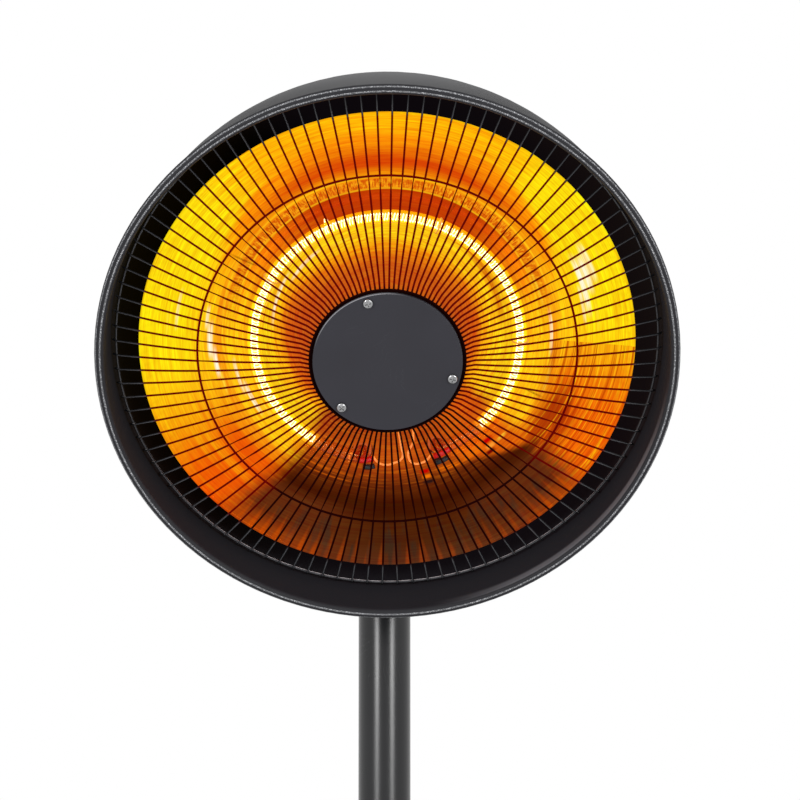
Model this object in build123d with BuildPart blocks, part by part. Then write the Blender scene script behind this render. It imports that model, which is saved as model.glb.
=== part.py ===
from build123d import *
from math import cos, radians, sin, sqrt
import os

# Infrared patio heater tower, in millimetres. The floor is Z = 0 under the pole's axis.
# The head looks along -Y and downwards. A head size that starts with a depth is measured
# back from the plane of the shade's rim.

# Whole tower
pivot_height = 2050.0
head_tilt = 32.0  # degrees below the horizontal, as it stands
pivot_depth = 352.0  # from the rim plane back to the tilt axis
running_clearance = 0.05  # round a pin that turns in its bore
fit_clearance = 0.1  # between pieces that slide together and stay
screw_clearance = 0.25  # round a screw in a plain hole
bolt_end_gap = 2.0  # left at the end of a blind hole
edge_round = 2.0  # on castings, the knob and the ballast
weld_bite = 0.4  # how far welded wires sink into each other

# Shade
rim_radius = 230.0
bead_radius = 4.0
shade_wall = 1.0
bead_proud = 7.0  # how far the bead stands out of the wall
dome_length = 260.0  # half axis of the dome's ellipse
crown_depth = 232.0
crown_fillet = 14.0
crown_opening_radius = 18.0

# Reflector
reflector_radius = 197.0
reflector_edge_depth = 33.0
reflector_floor_depth = 66.0
reflector_floor_radius = 94.0
reflector_knee_radius = 124.0
reflector_knee_depth = 47.0
reflector_sheet = 1.0
reflector_bend = 14.0
reflector_curl_radius = 1.5

# Lamp
lamp_ring_radius = 106.0
lamp_depth = 44.0
lamp_tube_radius = 5.5
lamp_glass = 1.2
lamp_bend = 9.0
lamp_leg = 31.0  # straight end behind each bend
lamp_gap_angle = 276.0  # where the ring is open, from +X
lamp_legs_apart = 43.0  # degrees between the two bends
lamp_dark_angle = 79.0  # degrees without coil
coil_radius = 2.8
coil_lead_radius = 0.6
sleeve_radius = 7.5
sleeve_length = 15.5
sleeve_hole_clearance = 1.0  # round a sleeve in the reflector
end_cap_radius = 7.5
end_cap_length = 26.0
end_cap_overlap = 12.0
clip_wire_radius = 0.7
clip_angles = (150.0, 68.0, 0.0)
lead_radius = 2.0
lead_hole_clearance = 1.0  # round a lead in the baffle
lead_bend = 11.0

# Guard
guard_wire_radius = 0.8
guard_wire_count = 108
guard_first_angle = 89.2
guard_ring_wire = 0.9
outer_ring_radius = 215.0
outer_ring_depth = 36.7
middle_ring_radius = 150.0
middle_ring_depth = 19.4
inner_ring_radius = 61.2
inner_ring_depth = 3.4
guard_kink_radius = 69.0
guard_kink_depth = 8.0
guard_bend_radius = 4.0
guard_tail = 3.0
guard_plate = 1.2
guard_boss_radius = 7.0
guard_boss_length = 12.0

# Centre disc and what holds the guard
disc_radius = 59.0
disc_face_depth = 1.1
disc_sheet = 1.1
disc_edge_round = 0.6
disc_screw_circle = 53.0
disc_screw_angles = (107.0, 227.0, 345.0)
disc_screw_length = 9.0
rivet_nut_radius = 4.5
rivet_nut_length = 7.0
post_radius = 7.0
post_wall = 3.5

# Carrier behind the reflector
carrier_radius = 88.0
carrier_sheet = 2.0
carrier_depth = 82.0  # of its front face
carrier_bolt_circle = 76.0
carrier_bolt_count = 4
carrier_bolt_start = 45.0
carrier_nut_height = 4.0
spacer_radius = 5.0
baffle_radius = 150.0
baffle_depth = 130.0
baffle_sheet = 1.0
reflector_screw_circle = 30.0
reflector_screw_count = 3
terminal_side = 11.0  # from each lead to the end of the block
terminal_height = 22.0
terminal_thickness = 18.0
terminal_corner = 2.0
terminal_setback = 16.0  # from the lamp ends to the block's edge
cutout_radius = 8.0
cutout_height = 9.0
cutout_tab_radius = 3.2

# Rear housing
housing_radius = 58.0
housing_wall = 2.5
housing_length = 42.5
housing_back = 3.0
housing_fillet = 6.0
gasket_thickness = 1.5
housing_boss_circle = 46.0
housing_boss_radius = 5.0
housing_screw_count = 4

# Switch
switch_offset = 42.5
switch_width = 11.0
switch_height = 19.0
switch_depth = 15.0
switch_bezel = 1.8
switch_bezel_thickness = 2.0
switch_wall = 1.3
switch_corner = 2.0
rocker_radius = 7.4
rocker_peak = 2.6
rocker_gap = 0.35  # between rocker and body
rocker_pin_radius = 1.2
rocker_swing = 9.0  # degrees each way from level; it stands switched on

# Tilt hinge
lug_flange_radius = 30.0
lug_flange = 8.0
lug_thickness = 18.0
lug_end_radius = 16.0
lug_bolt_circle = 23.0
lug_bolt_angles = (30.0, 150.0, 270.0)
pivot_bolt_radius = 5.0
pivot_washer = 1.5
pivot_washer_radius = 14.0
pivot_side_play = 0.1
fork_ear = 9.0
fork_ear_radius = 17.0
fork_cap_radius = 24.0
fork_cap = 8.0
fork_spigot_length = 70.0
fork_below_pivot = 52.0
knob_radius = 21.0
knob_length = 22.0
knob_lobes = 5
lobe_radius = 6.3
knob_insert_radius = 9.0

# Pole
pole_radius = 22.5
pole_wall = 1.5
pole_pieces = 3
coupler_length = 120.0
coupler_wall = 2.5
joint_screw_offset = 35.0

# Base
base_radius = 240.0
base_shoulder_height = 30.0
base_shoulder_fillet = 8.0
base_top_radius = 60.0
base_top_height = 46.0
base_sheet = 1.5
base_edge_gap = 2.0
ballast_radius = 222.0
ballast_thickness = 9.0
boss_radius = 57.0
foot_outer_radius = 218.0
foot_inner_radius = 180.0
foot_height = 4.0
socket_flange_radius = 52.0
socket_flange = 6.0
socket_spigot_length = 100.0
socket_wall = 3.0
socket_bolt_circle = 38.0
socket_bolt_count = 4
socket_bolt_bite = 30.0  # depth of its tapped hole
collar_radius = 64.0
collar_height = 16.0
collar_sheet = 1.5
collar_gap = 0.4
collar_round = 4.0

# Tip-over switch in the base
tip_offset = 105.0
tip_body_width = 26.0
tip_body_height = 24.0
tip_wall = 1.5
tip_corner = 3.0
plunger_radius = 4.0
plunger_collar_radius = 7.0
plunger_collar = 3.0
plunger_stem_radius = 3.0
stem_end_gap = 2.0
plunger_travel = 6.0
spring_wire_radius = 0.5
spring_turns = 4

# Screws, as nominal thread radius, head radius and head height
m4 = (2.0, 4.0, 2.4)
m5 = (2.5, 4.75, 3.0)
m6 = (3.0, 5.5, 3.6)
m8 = (4.0, 6.5, 5.0)
recess_width = 0.9
recess_share = 0.6  # of the head's radius
recess_depth_share = 0.55  # of the head's height

# Cable glands
gland_radius = 6.0
gland_nut_radius = 9.0
gland_nut_thickness = 5.0
gland_dome_length = 9.0
gland_bore_radius = 3.5
grommet_flange = 3.0
grommet_lip = 2.0

# Planes and axes of the head
facing = Vector(0, -cos(radians(head_tilt)), -sin(radians(head_tilt)))
pivot = Vector(0, 0, pivot_height)
head = Plane(origin=pivot + facing * pivot_depth, x_dir=(1, 0, 0), z_dir=facing)
head_section = Plane(origin=head.origin, x_dir=head.x_dir, z_dir=-head.y_dir)
head_axis = Axis(head.origin, head.z_dir)
tower_section = Plane.XZ
pivot_plane = Plane(origin=pivot, x_dir=(0, 1, 0), z_dir=(1, 0, 0))


def polar(radius, angle):
    """A point on a circle round the origin of the present plane."""
    return (radius * cos(radians(angle)), radius * sin(radians(angle)))


def ring(plane, outer, inner, length):
    """A plain tube or washer that grows along the plane's normal."""
    with BuildPart() as tube:
        with BuildSketch(plane):
            Circle(outer)
            Circle(inner, mode=Mode.SUBTRACT)
        extrude(amount=length)
    return tube.part


def screw(size, length, crossed=True):
    """A pan head screw along +Z, with the underside of its head at Z = 0."""
    thread, head_radius, head_height = size
    with BuildPart() as fastener:
        with BuildSketch(Plane.XY):
            Circle(head_radius)
        extrude(amount=head_height)
        fillet(fastener.edges().group_by(Axis.Z)[-1], head_height * 0.6)
        with BuildSketch(Plane.XY):
            Circle(thread)
        extrude(amount=-length)
        if crossed:
            with BuildSketch(Plane.XY.offset(head_height)):
                Rectangle(2 * recess_share * head_radius, recess_width)
                Rectangle(recess_width, 2 * recess_share * head_radius)
            extrude(amount=-recess_depth_share * head_height, mode=Mode.SUBTRACT)
        else:
            with BuildSketch(Plane.XY.offset(head_height)):
                RegularPolygon(recess_share * head_radius, 6)
            extrude(amount=-recess_depth_share * head_height, mode=Mode.SUBTRACT)
    return fastener.part


def placed(piece, places):
    """Copies of one piece as a group of separate solids."""
    with BuildPart() as group:
        with Locations(*places):
            add(piece)
    return group.part


def write(piece, name):
    """Label a finished piece and write it in its own file."""
    piece.label = name
    export_step(piece, f"parts/{name}.step")


os.makedirs("parts", exist_ok=True)

# ---------------------------------------------------------------- shade
dome_radius = rim_radius - bead_proud
inner_dome_radius = dome_radius - shade_wall
inner_dome_length = dome_length - shade_wall

with BuildPart() as shade:
    with BuildSketch(head_section) as shade_profile:
        Ellipse(dome_radius, dome_length)
        with Locations((0, -bead_radius)):
            Rectangle(
                rim_radius,
                crown_depth - bead_radius,
                align=(Align.MIN, Align.MAX),
                mode=Mode.INTERSECT,
            )
        crown_corner = shade_profile.vertices().group_by(Axis.Y)[0].sort_by(Axis.X)[-1]
        fillet(crown_corner, crown_fillet)
        with BuildSketch(mode=Mode.PRIVATE) as hollow:
            Ellipse(inner_dome_radius, inner_dome_length)
            Rectangle(
                rim_radius,
                crown_depth - shade_wall,
                align=(Align.MIN, Align.MAX),
                mode=Mode.INTERSECT,
            )
            hollow_corner = hollow.vertices().group_by(Axis.Y)[0].sort_by(Axis.X)[-1]
            fillet(hollow_corner, crown_fillet - shade_wall)
        add(hollow.sketch, mode=Mode.SUBTRACT)
        with Locations((rim_radius - bead_radius, -bead_radius)):
            Circle(bead_radius)
    revolve(axis=head_axis)
    with BuildSketch(head.offset(-crown_depth)):
        Circle(crown_opening_radius)
        with PolarLocations(housing_boss_circle, housing_screw_count, 45):
            Circle(m4[0] + screw_clearance)
        with PolarLocations(carrier_bolt_circle, carrier_bolt_count, carrier_bolt_start):
            Circle(m5[0] + screw_clearance)
    extrude(amount=2 * shade_wall, both=True, mode=Mode.SUBTRACT)
write(shade.part, "shade")

# ---------------------------------------------------------------- lamp
leg_angles = [lamp_gap_angle - lamp_legs_apart / 2, lamp_gap_angle + lamp_legs_apart / 2]
ring_span = 360 - lamp_legs_apart
ring_start = leg_angles[1] - 360
coil_span = 360 - lamp_dark_angle
coil_start = lamp_gap_angle + lamp_dark_angle / 2 - 360
lamp_plane = head.offset(-lamp_depth)
lamp_axis = Axis(lamp_plane.origin, lamp_plane.z_dir)
leg_depth = lamp_depth + lamp_bend + lamp_leg
cap_front_depth = leg_depth - end_cap_overlap
cap_back_depth = cap_front_depth + end_cap_length


def spoke_plane(angle):
    """Section plane of the lamp ring at an angle: x outwards, y towards the viewer."""
    x, y = polar(1, angle)
    out = head.x_dir * x + head.y_dir * y
    return Plane(origin=lamp_plane.origin, x_dir=out, z_dir=out.cross(head.z_dir))


def leg_point(angle, side):
    """Where a lamp leg stands in the head's own x and y."""
    x, y = polar(lamp_ring_radius, angle)
    along_x, along_y = polar(lamp_bend * side, angle + 90)
    return (x + along_x, y + along_y)


leg_points = [leg_point(leg_angles[0], 1), leg_point(leg_angles[1], -1)]


def lamp_run(outer, inner, start, span, leg_end):
    """The bent shape of the lamp: a ring, two bends and two legs, as tube or rod."""
    with BuildPart() as run:
        with BuildSketch(spoke_plane(start)):
            with Locations((lamp_ring_radius, 0)):
                Circle(outer)
                if inner:
                    Circle(inner, mode=Mode.SUBTRACT)
        revolve(axis=lamp_axis, revolution_arc=span)
        for angle, side in zip(leg_angles, (1, -1)):
            section = spoke_plane(angle)
            centre = section.origin + section.x_dir * lamp_ring_radius
            bend_axis = Axis(centre - head.z_dir * lamp_bend, section.x_dir * side)
            with BuildSketch(section):
                with Locations((lamp_ring_radius, 0)):
                    Circle(outer)
                    if inner:
                        Circle(inner, mode=Mode.SUBTRACT)
            revolve(axis=bend_axis, revolution_arc=-90)
        with BuildSketch(head.offset(-lamp_depth - lamp_bend)):
            with Locations(*leg_points):
                Circle(outer)
                if inner:
                    Circle(inner, mode=Mode.SUBTRACT)
        extrude(amount=-(leg_end - lamp_depth - lamp_bend))
    return run.part


lamp_bore = lamp_tube_radius - lamp_glass
lamp_tube = lamp_run(lamp_tube_radius, lamp_bore, ring_start, ring_span, leg_depth)
write(lamp_tube, "lamp_tube")

with BuildPart() as lamp_filament:
    add(lamp_run(coil_lead_radius, 0, ring_start, ring_span, leg_depth))
    with BuildSketch(spoke_plane(coil_start)):
        with Locations((lamp_ring_radius, 0)):
            Circle(coil_radius)
    revolve(axis=lamp_axis, revolution_arc=coil_span)
write(lamp_filament.part, "lamp_filament")

with BuildPart() as lamp_end_caps:
    with BuildSketch(head.offset(-cap_front_depth)):
        with Locations(*leg_points):
            Circle(end_cap_radius)
    extrude(amount=-end_cap_length)
    with BuildSketch(head.offset(-cap_front_depth)):
        with Locations(*leg_points):
            Circle(lamp_tube_radius + fit_clearance)
    extrude(amount=-end_cap_overlap, mode=Mode.SUBTRACT)
write(lamp_end_caps.part, "lamp_end_caps")

with BuildPart() as lamp_sleeves:
    with BuildSketch(head.offset(-cap_front_depth)):
        with Locations(*leg_points):
            Circle(sleeve_radius)
            Circle(lamp_tube_radius + fit_clearance, mode=Mode.SUBTRACT)
    extrude(amount=sleeve_length)
write(lamp_sleeves.part, "lamp_sleeves")

# ---------------------------------------------------------------- reflector
reflector_back_depth = reflector_floor_depth + reflector_sheet
reflector_hole = sleeve_radius + sleeve_hole_clearance
curl_centre_radius = reflector_radius - reflector_curl_radius

with BuildPart() as reflector:
    with BuildSketch(head_section):
        with BuildLine():
            FilletPolyline(
                (0, -reflector_floor_depth),
                (reflector_floor_radius, -reflector_floor_depth),
                (reflector_knee_radius, -reflector_knee_depth),
                (curl_centre_radius, -reflector_edge_depth),
                radius=(reflector_bend, 2 * reflector_bend),
            )
            offset(amount=reflector_sheet, side=Side.RIGHT)
        make_face()
        with Locations((curl_centre_radius, -reflector_edge_depth - reflector_sheet / 2)):
            Circle(reflector_curl_radius)
    revolve(axis=head_axis)
    with BuildSketch(head.offset(-reflector_edge_depth)):
        Circle(m6[0] + screw_clearance)
        with PolarLocations(reflector_screw_circle, reflector_screw_count, 30):
            Circle(m4[0] + screw_clearance)
        with Locations(*leg_points):
            Circle(reflector_hole)
    extrude(amount=-2 * reflector_floor_depth, mode=Mode.SUBTRACT)
write(reflector.part, "reflector")

floor_slope = (reflector_floor_depth - reflector_knee_depth) / (
    reflector_knee_radius - reflector_floor_radius
)
clip_radius = lamp_tube_radius + fit_clearance + clip_wire_radius

with BuildPart() as lamp_clips:
    for angle in clip_angles:
        section = spoke_plane(angle)
        foot_drop = reflector_floor_depth - lamp_depth - floor_slope * (
            lamp_ring_radius + clip_wire_radius - reflector_floor_radius
        )
        centre = section.origin + section.x_dir * lamp_ring_radius
        with BuildSketch(Plane(origin=centre, x_dir=head.z_dir, z_dir=section.x_dir)):
            with Locations((clip_radius, 0)):
                Circle(clip_wire_radius)
        revolve(axis=Axis(centre, section.z_dir))
        with BuildSketch(Plane(origin=centre - head.z_dir * clip_radius, z_dir=-head.z_dir)):
            Circle(clip_wire_radius)
        extrude(amount=foot_drop - clip_radius)
write(lamp_clips.part, "lamp_clips")

# ---------------------------------------------------------------- guard
wire_gap = guard_wire_radius + guard_ring_wire - weld_bite
plate_depth = inner_ring_depth
boss_end_depth = plate_depth + guard_plate + guard_boss_length
outer_wire_depth = outer_ring_depth - wire_gap
middle_wire_depth = middle_ring_depth - wire_gap
outer_wire = (outer_ring_radius, -outer_wire_depth)
middle_wire = (middle_ring_radius, -middle_wire_depth)
kink = (guard_kink_radius, -guard_kink_depth)

with BuildPart() as guard_wire:
    with BuildLine(Plane.XZ) as wire_path:
        Line((outer_ring_radius + guard_tail, -outer_wire_depth - guard_tail), outer_wire)
        ThreePointArc(outer_wire, middle_wire, kink)
        Line(kink, (inner_ring_radius, -inner_ring_depth))
        bends = wire_path.vertices().sort_by(Axis.X)[1:-1]
        fillet(bends, guard_bend_radius)
    with BuildSketch(Plane(origin=wire_path.line @ 0, z_dir=wire_path.line % 0)):
        Circle(guard_wire_radius)
    sweep(path=wire_path.line)

with BuildPart(head) as wire_guard:
    with BuildSketch(head_section):
        with Locations((outer_ring_radius, -outer_ring_depth)):
            Circle(guard_ring_wire)
        with Locations((middle_ring_radius, -middle_ring_depth)):
            Circle(guard_ring_wire)
        with Locations((inner_ring_radius, -inner_ring_depth)):
            Circle(guard_ring_wire)
    revolve(axis=head_axis)
    with BuildSketch(head.offset(-plate_depth)):
        Circle(inner_ring_radius)
    extrude(amount=-guard_plate)
    with BuildSketch(head.offset(-plate_depth)):
        Circle(guard_boss_radius)
    extrude(amount=-(guard_plate + guard_boss_length))
    with BuildSketch(head.offset(-boss_end_depth)):
        Circle(m6[0] + fit_clearance)
    extrude(amount=guard_boss_length, mode=Mode.SUBTRACT)
    with BuildSketch(head.offset(-plate_depth)):
        for angle in disc_screw_angles:
            with Locations(polar(disc_screw_circle, angle)):
                Circle(m4[0] + screw_clearance)
    extrude(amount=-2 * guard_plate, mode=Mode.SUBTRACT)
    with PolarLocations(0, guard_wire_count, guard_first_angle):
        add(guard_wire.part)
write(wire_guard.part, "wire_guard")

with BuildPart() as guard_disc:
    with BuildSketch(head.offset(-disc_face_depth)):
        Circle(disc_radius)
    extrude(amount=-(plate_depth - disc_face_depth))
    fillet(guard_disc.edges().sort_by(head_axis)[-1], disc_edge_round)
    with BuildSketch(head.offset(-plate_depth)):
        Circle(disc_radius - disc_sheet)
    extrude(amount=plate_depth - disc_face_depth - disc_sheet, mode=Mode.SUBTRACT)
    with BuildSketch(head.offset(-disc_face_depth)):
        for angle in disc_screw_angles:
            with Locations(polar(disc_screw_circle, angle)):
                Circle(m4[0] + screw_clearance)
    extrude(amount=-plate_depth, mode=Mode.SUBTRACT)
write(guard_disc.part, "guard_disc")

disc_plane = head.offset(-disc_face_depth)
disc_screw_places = [
    disc_plane.location * Location((*polar(disc_screw_circle, angle), 0), (0, 0, angle))
    for angle in disc_screw_angles
]
write(placed(screw(m4, disc_screw_length), disc_screw_places), "disc_screws")

nut_plane = head.offset(-plate_depth - guard_plate)
with BuildPart() as rivet_nuts:
    with BuildSketch(nut_plane):
        for angle in disc_screw_angles:
            with Locations(polar(disc_screw_circle, angle)):
                Circle(rivet_nut_radius)
                Circle(m4[0] + fit_clearance, mode=Mode.SUBTRACT)
    extrude(amount=-rivet_nut_length)
write(rivet_nuts.part, "rivet_nuts")

post_length = reflector_floor_depth - boss_end_depth
guard_post = ring(head.offset(-boss_end_depth), post_radius, post_radius - post_wall, -post_length)
write(guard_post, "guard_post")

carrier_back_depth = carrier_depth + carrier_sheet
guard_bolt_length = carrier_back_depth - boss_end_depth + guard_boss_length - bolt_end_gap
guard_bolt_place = head.offset(-carrier_back_depth).location * Location((0, 0, 0), (180, 0, 0))
write(placed(screw(m6, guard_bolt_length, crossed=False), [guard_bolt_place]), "guard_bolt")

# ---------------------------------------------------------------- carrier, spacers, baffle
ear_reach = lamp_ring_radius + 2 * end_cap_radius
legs_between = (Vector(*leg_points[1]) - Vector(*leg_points[0])).length
ear_width = legs_between + 4 * end_cap_radius

with BuildPart() as carrier_plate:
    with BuildSketch(head.offset(-carrier_depth)):
        Circle(carrier_radius)
        with Locations(Location((0, 0), lamp_gap_angle)):
            Rectangle(ear_reach, ear_width, align=(Align.MIN, Align.CENTER))
        Circle(m6[0] + screw_clearance, mode=Mode.SUBTRACT)
        with Locations(*leg_points):
            Circle(end_cap_radius + fit_clearance, mode=Mode.SUBTRACT)
        with PolarLocations(carrier_bolt_circle, carrier_bolt_count, carrier_bolt_start):
            Circle(m5[0] + screw_clearance, mode=Mode.SUBTRACT)
        with PolarLocations(reflector_screw_circle, reflector_screw_count, 30):
            Circle(m4[0] + fit_clearance, mode=Mode.SUBTRACT)
    extrude(amount=-carrier_sheet)
write(carrier_plate.part, "carrier_plate")

baffle_back_depth = baffle_depth + baffle_sheet
terminal_width = legs_between + 2 * terminal_side
terminal_screws_apart = legs_between / 2
block_centre_x = (leg_points[0][0] + leg_points[1][0]) / 2
block_edge_y = max(leg_points[0][1], leg_points[1][1]) + terminal_setback
block_centre_y = block_edge_y + terminal_height / 2
cutout_centre = (0.0, cutout_radius * 5)

with BuildPart() as heat_baffle:
    with BuildSketch(head.offset(-baffle_depth)):
        Circle(baffle_radius)
        Circle(crown_opening_radius, mode=Mode.SUBTRACT)
        with Locations(*leg_points):
            Circle(lead_radius + lead_hole_clearance, mode=Mode.SUBTRACT)
        with PolarLocations(carrier_bolt_circle, carrier_bolt_count, carrier_bolt_start):
            Circle(m5[0] + screw_clearance, mode=Mode.SUBTRACT)
        with Locations((block_centre_x, block_centre_y)):
            with GridLocations(terminal_screws_apart, 0, 2, 1):
                Circle(m4[0] + fit_clearance, mode=Mode.SUBTRACT)
    extrude(amount=-baffle_sheet)
write(heat_baffle.part, "heat_baffle")


def spacers(start_depth, end_depth, circle, count, start_angle, bore):
    """Round spacers between two depths of the head."""
    with BuildPart() as group:
        with BuildSketch(head.offset(-start_depth)):
            with PolarLocations(circle, count, start_angle):
                Circle(spacer_radius)
                Circle(bore + screw_clearance, mode=Mode.SUBTRACT)
        extrude(amount=-(end_depth - start_depth))
    return group.part


crown_inside_depth = crown_depth - shade_wall
write(
    spacers(
        reflector_back_depth, carrier_depth, reflector_screw_circle, reflector_screw_count, 30, m4[0]
    ),
    "reflector_spacers",
)
write(
    spacers(
        carrier_back_depth,
        baffle_depth,
        carrier_bolt_circle,
        carrier_bolt_count,
        carrier_bolt_start,
        m5[0],
    ),
    "front_spacers",
)
write(
    spacers(
        baffle_back_depth,
        crown_inside_depth,
        carrier_bolt_circle,
        carrier_bolt_count,
        carrier_bolt_start,
        m5[0],
    ),
    "rear_spacers",
)

reflector_face = head.offset(-reflector_floor_depth)
reflector_screw_places = [
    reflector_face.location * Location((*polar(reflector_screw_circle, 30 + turn), 0))
    for turn in (0, 120, 240)
]
reflector_screw_length = carrier_back_depth - reflector_floor_depth
write(placed(screw(m4, reflector_screw_length), reflector_screw_places), "reflector_screws")

crown_face = head.offset(-crown_depth)
carrier_bolt_places = [
    crown_face.location
    * Location(
        (*polar(carrier_bolt_circle, carrier_bolt_start + turn * 360 / carrier_bolt_count), 0),
        (180, 0, 0),
    )
    for turn in range(carrier_bolt_count)
]
carrier_bolt_length = crown_depth - carrier_depth + carrier_nut_height
write(
    placed(screw(m5, carrier_bolt_length, crossed=False), carrier_bolt_places), "carrier_bolts"
)

with BuildPart() as carrier_nuts:
    with BuildSketch(head.offset(-carrier_depth)):
        with PolarLocations(carrier_bolt_circle, carrier_bolt_count, carrier_bolt_start):
            RegularPolygon(m5[1], 6)
            Circle(m5[0] + fit_clearance, mode=Mode.SUBTRACT)
    extrude(amount=carrier_nut_height)
write(carrier_nuts.part, "carrier_nuts")

# ---------------------------------------------------------------- terminal block and cut-out
block_plane = head.offset(-baffle_back_depth)
port_depth = baffle_back_depth + terminal_thickness / 2
with BuildPart() as terminal_block:
    with BuildSketch(block_plane):
        with Locations((block_centre_x, block_centre_y)):
            RectangleRounded(terminal_width, terminal_height, terminal_corner)
            with GridLocations(terminal_screws_apart, 0, 2, 1):
                Circle(m4[0] + screw_clearance, mode=Mode.SUBTRACT)
    extrude(amount=-terminal_thickness)
    with BuildSketch(Plane(head.origin + head.y_dir * block_edge_y, x_dir=head.x_dir, z_dir=head.y_dir)):
        with Locations(*[(point[0], port_depth) for point in leg_points]):
            Circle(lead_radius + fit_clearance)
    extrude(amount=terminal_height / 2, mode=Mode.SUBTRACT)
write(terminal_block.part, "terminal_block")

block_back = head.offset(-baffle_back_depth - terminal_thickness)
block_screw_places = [
    block_back.location
    * Location((block_centre_x + side * terminal_screws_apart / 2, block_centre_y, 0), (180, 0, 0))
    for side in (-1, 1)
]
write(
    placed(screw(m4, terminal_thickness + baffle_sheet), block_screw_places), "terminal_screws"
)

with BuildPart() as thermal_cutout:
    with BuildSketch(block_plane):
        with Locations(cutout_centre):
            Circle(cutout_radius)
            SlotCenterToCenter(3 * cutout_radius, 2 * cutout_tab_radius)
    extrude(amount=-baffle_sheet)
    with BuildSketch(block_plane.offset(-baffle_sheet)):
        with Locations(cutout_centre):
            Circle(cutout_radius)
    extrude(amount=-cutout_height)
write(thermal_cutout.part, "thermal_cutout")

lead_end_y = block_edge_y + terminal_height / 3

with BuildPart() as lamp_leads:
    for point in leg_points:
        start = head.origin + head.x_dir * point[0] + head.y_dir * point[1]
        with BuildLine() as lead_path:
            FilletPolyline(
                start - head.z_dir * cap_back_depth,
                start - head.z_dir * port_depth,
                start - head.z_dir * port_depth + head.y_dir * (lead_end_y - point[1]),
                radius=lead_bend,
            )
        with BuildSketch(Plane(origin=lead_path.line @ 0, z_dir=lead_path.line % 0)):
            Circle(lead_radius)
        sweep(path=lead_path.line)
write(lamp_leads.part, "lamp_leads")

# ---------------------------------------------------------------- rear housing
gasket_back_depth = crown_depth + gasket_thickness
housing_back_depth = gasket_back_depth + housing_length

with BuildPart() as housing_gasket:
    with BuildSketch(head.offset(-crown_depth)):
        Circle(housing_radius)
        Circle(housing_boss_circle - housing_boss_radius, mode=Mode.SUBTRACT)
        with PolarLocations(housing_boss_circle, housing_screw_count, 45):
            Circle(m4[0] + screw_clearance, mode=Mode.SUBTRACT)
    extrude(amount=-gasket_thickness)
write(housing_gasket.part, "housing_gasket")

housing_floor_depth = housing_back_depth - housing_back
gland_depth = (gasket_back_depth + housing_floor_depth) / 2
housing_gland_plane = Plane(
    origin=head.origin - head.z_dir * gland_depth - head.y_dir * (housing_radius - housing_wall),
    x_dir=head.x_dir,
    z_dir=-head.y_dir,
)

with BuildPart() as rear_housing:
    with BuildSketch(head.offset(-gasket_back_depth)):
        Circle(housing_radius)
    extrude(amount=-housing_length)
    fillet(rear_housing.edges().sort_by(head_axis)[0], housing_fillet)
    with BuildSketch(head.offset(-gasket_back_depth)):
        Circle(housing_radius - housing_wall)
        with PolarLocations(housing_boss_circle, housing_screw_count, 45):
            Circle(housing_boss_radius, mode=Mode.SUBTRACT)
    extrude(amount=-(housing_length - housing_back), mode=Mode.SUBTRACT)
    with BuildSketch(head.offset(-gasket_back_depth)):
        with PolarLocations(housing_boss_circle, housing_screw_count, 45):
            Circle(m4[0] + fit_clearance)
    extrude(amount=-housing_length / 2, mode=Mode.SUBTRACT)
    with BuildSketch(head.offset(-housing_back_depth)):
        with Locations((switch_offset, 0)):
            Rectangle(switch_width + 2 * fit_clearance, switch_height + 2 * fit_clearance)
        for angle in lug_bolt_angles:
            with Locations(polar(lug_bolt_circle, angle)):
                Circle(m6[0] + screw_clearance)
    extrude(amount=2 * housing_back, both=True, mode=Mode.SUBTRACT)
    with BuildSketch(housing_gland_plane):
        Circle(gland_radius + screw_clearance)
    extrude(amount=2 * housing_wall, both=True, mode=Mode.SUBTRACT)
write(rear_housing.part, "rear_housing")

housing_screw_places = [
    head.offset(-crown_inside_depth).location
    * Location((*polar(housing_boss_circle, 45 + turn * 360 / housing_screw_count), 0))
    for turn in range(housing_screw_count)
]
write(placed(screw(m4, housing_length / 2), housing_screw_places), "housing_screws")


def gland(wall):
    """A cable gland along +Z, seated on a wall whose outer face is Z = 0."""
    with BuildPart() as body:
        with BuildSketch(Plane.XY.offset(-wall - gland_nut_thickness)):
            Circle(gland_radius)
        extrude(amount=wall + gland_nut_thickness)
        with BuildSketch(Plane.XY):
            RegularPolygon(gland_nut_radius, 6)
        extrude(amount=gland_nut_thickness)
        with BuildSketch(Plane.XY.offset(gland_nut_thickness)):
            Circle(gland_nut_radius * 0.85)
        extrude(amount=gland_dome_length)
        fillet(body.edges().group_by(Axis.Z)[-1], gland_nut_radius * 0.35)
        with BuildSketch(Plane.XY.offset(-wall - gland_nut_thickness)):
            RegularPolygon(gland_nut_radius, 6)
            Circle(gland_radius, mode=Mode.SUBTRACT)
        extrude(amount=gland_nut_thickness * 0.8)
        with BuildSketch(Plane.XY.offset(-wall - gland_nut_thickness)):
            Circle(gland_bore_radius)
        extrude(
            amount=wall + 2 * gland_nut_thickness + gland_dome_length, mode=Mode.SUBTRACT
        )
    return body.part


gland_place = housing_gland_plane.offset(housing_wall).location
gland_grip = housing_radius - housing_wall - sqrt((housing_radius - housing_wall) ** 2 - gland_nut_radius**2)
write(placed(gland(housing_wall + gland_grip), [gland_place]), "head_gland")

# ---------------------------------------------------------------- switch
bezel_back = head.offset(-housing_back_depth - switch_bezel_thickness)
rocker_axis_depth = housing_back_depth
cavity_width = switch_width - 2 * switch_wall
rocker_width = cavity_width - 2 * rocker_gap
switch_section = Plane(
    origin=head.origin + head.x_dir * switch_offset - head.z_dir * rocker_axis_depth,
    x_dir=head.y_dir,
    z_dir=head.x_dir,
)

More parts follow.
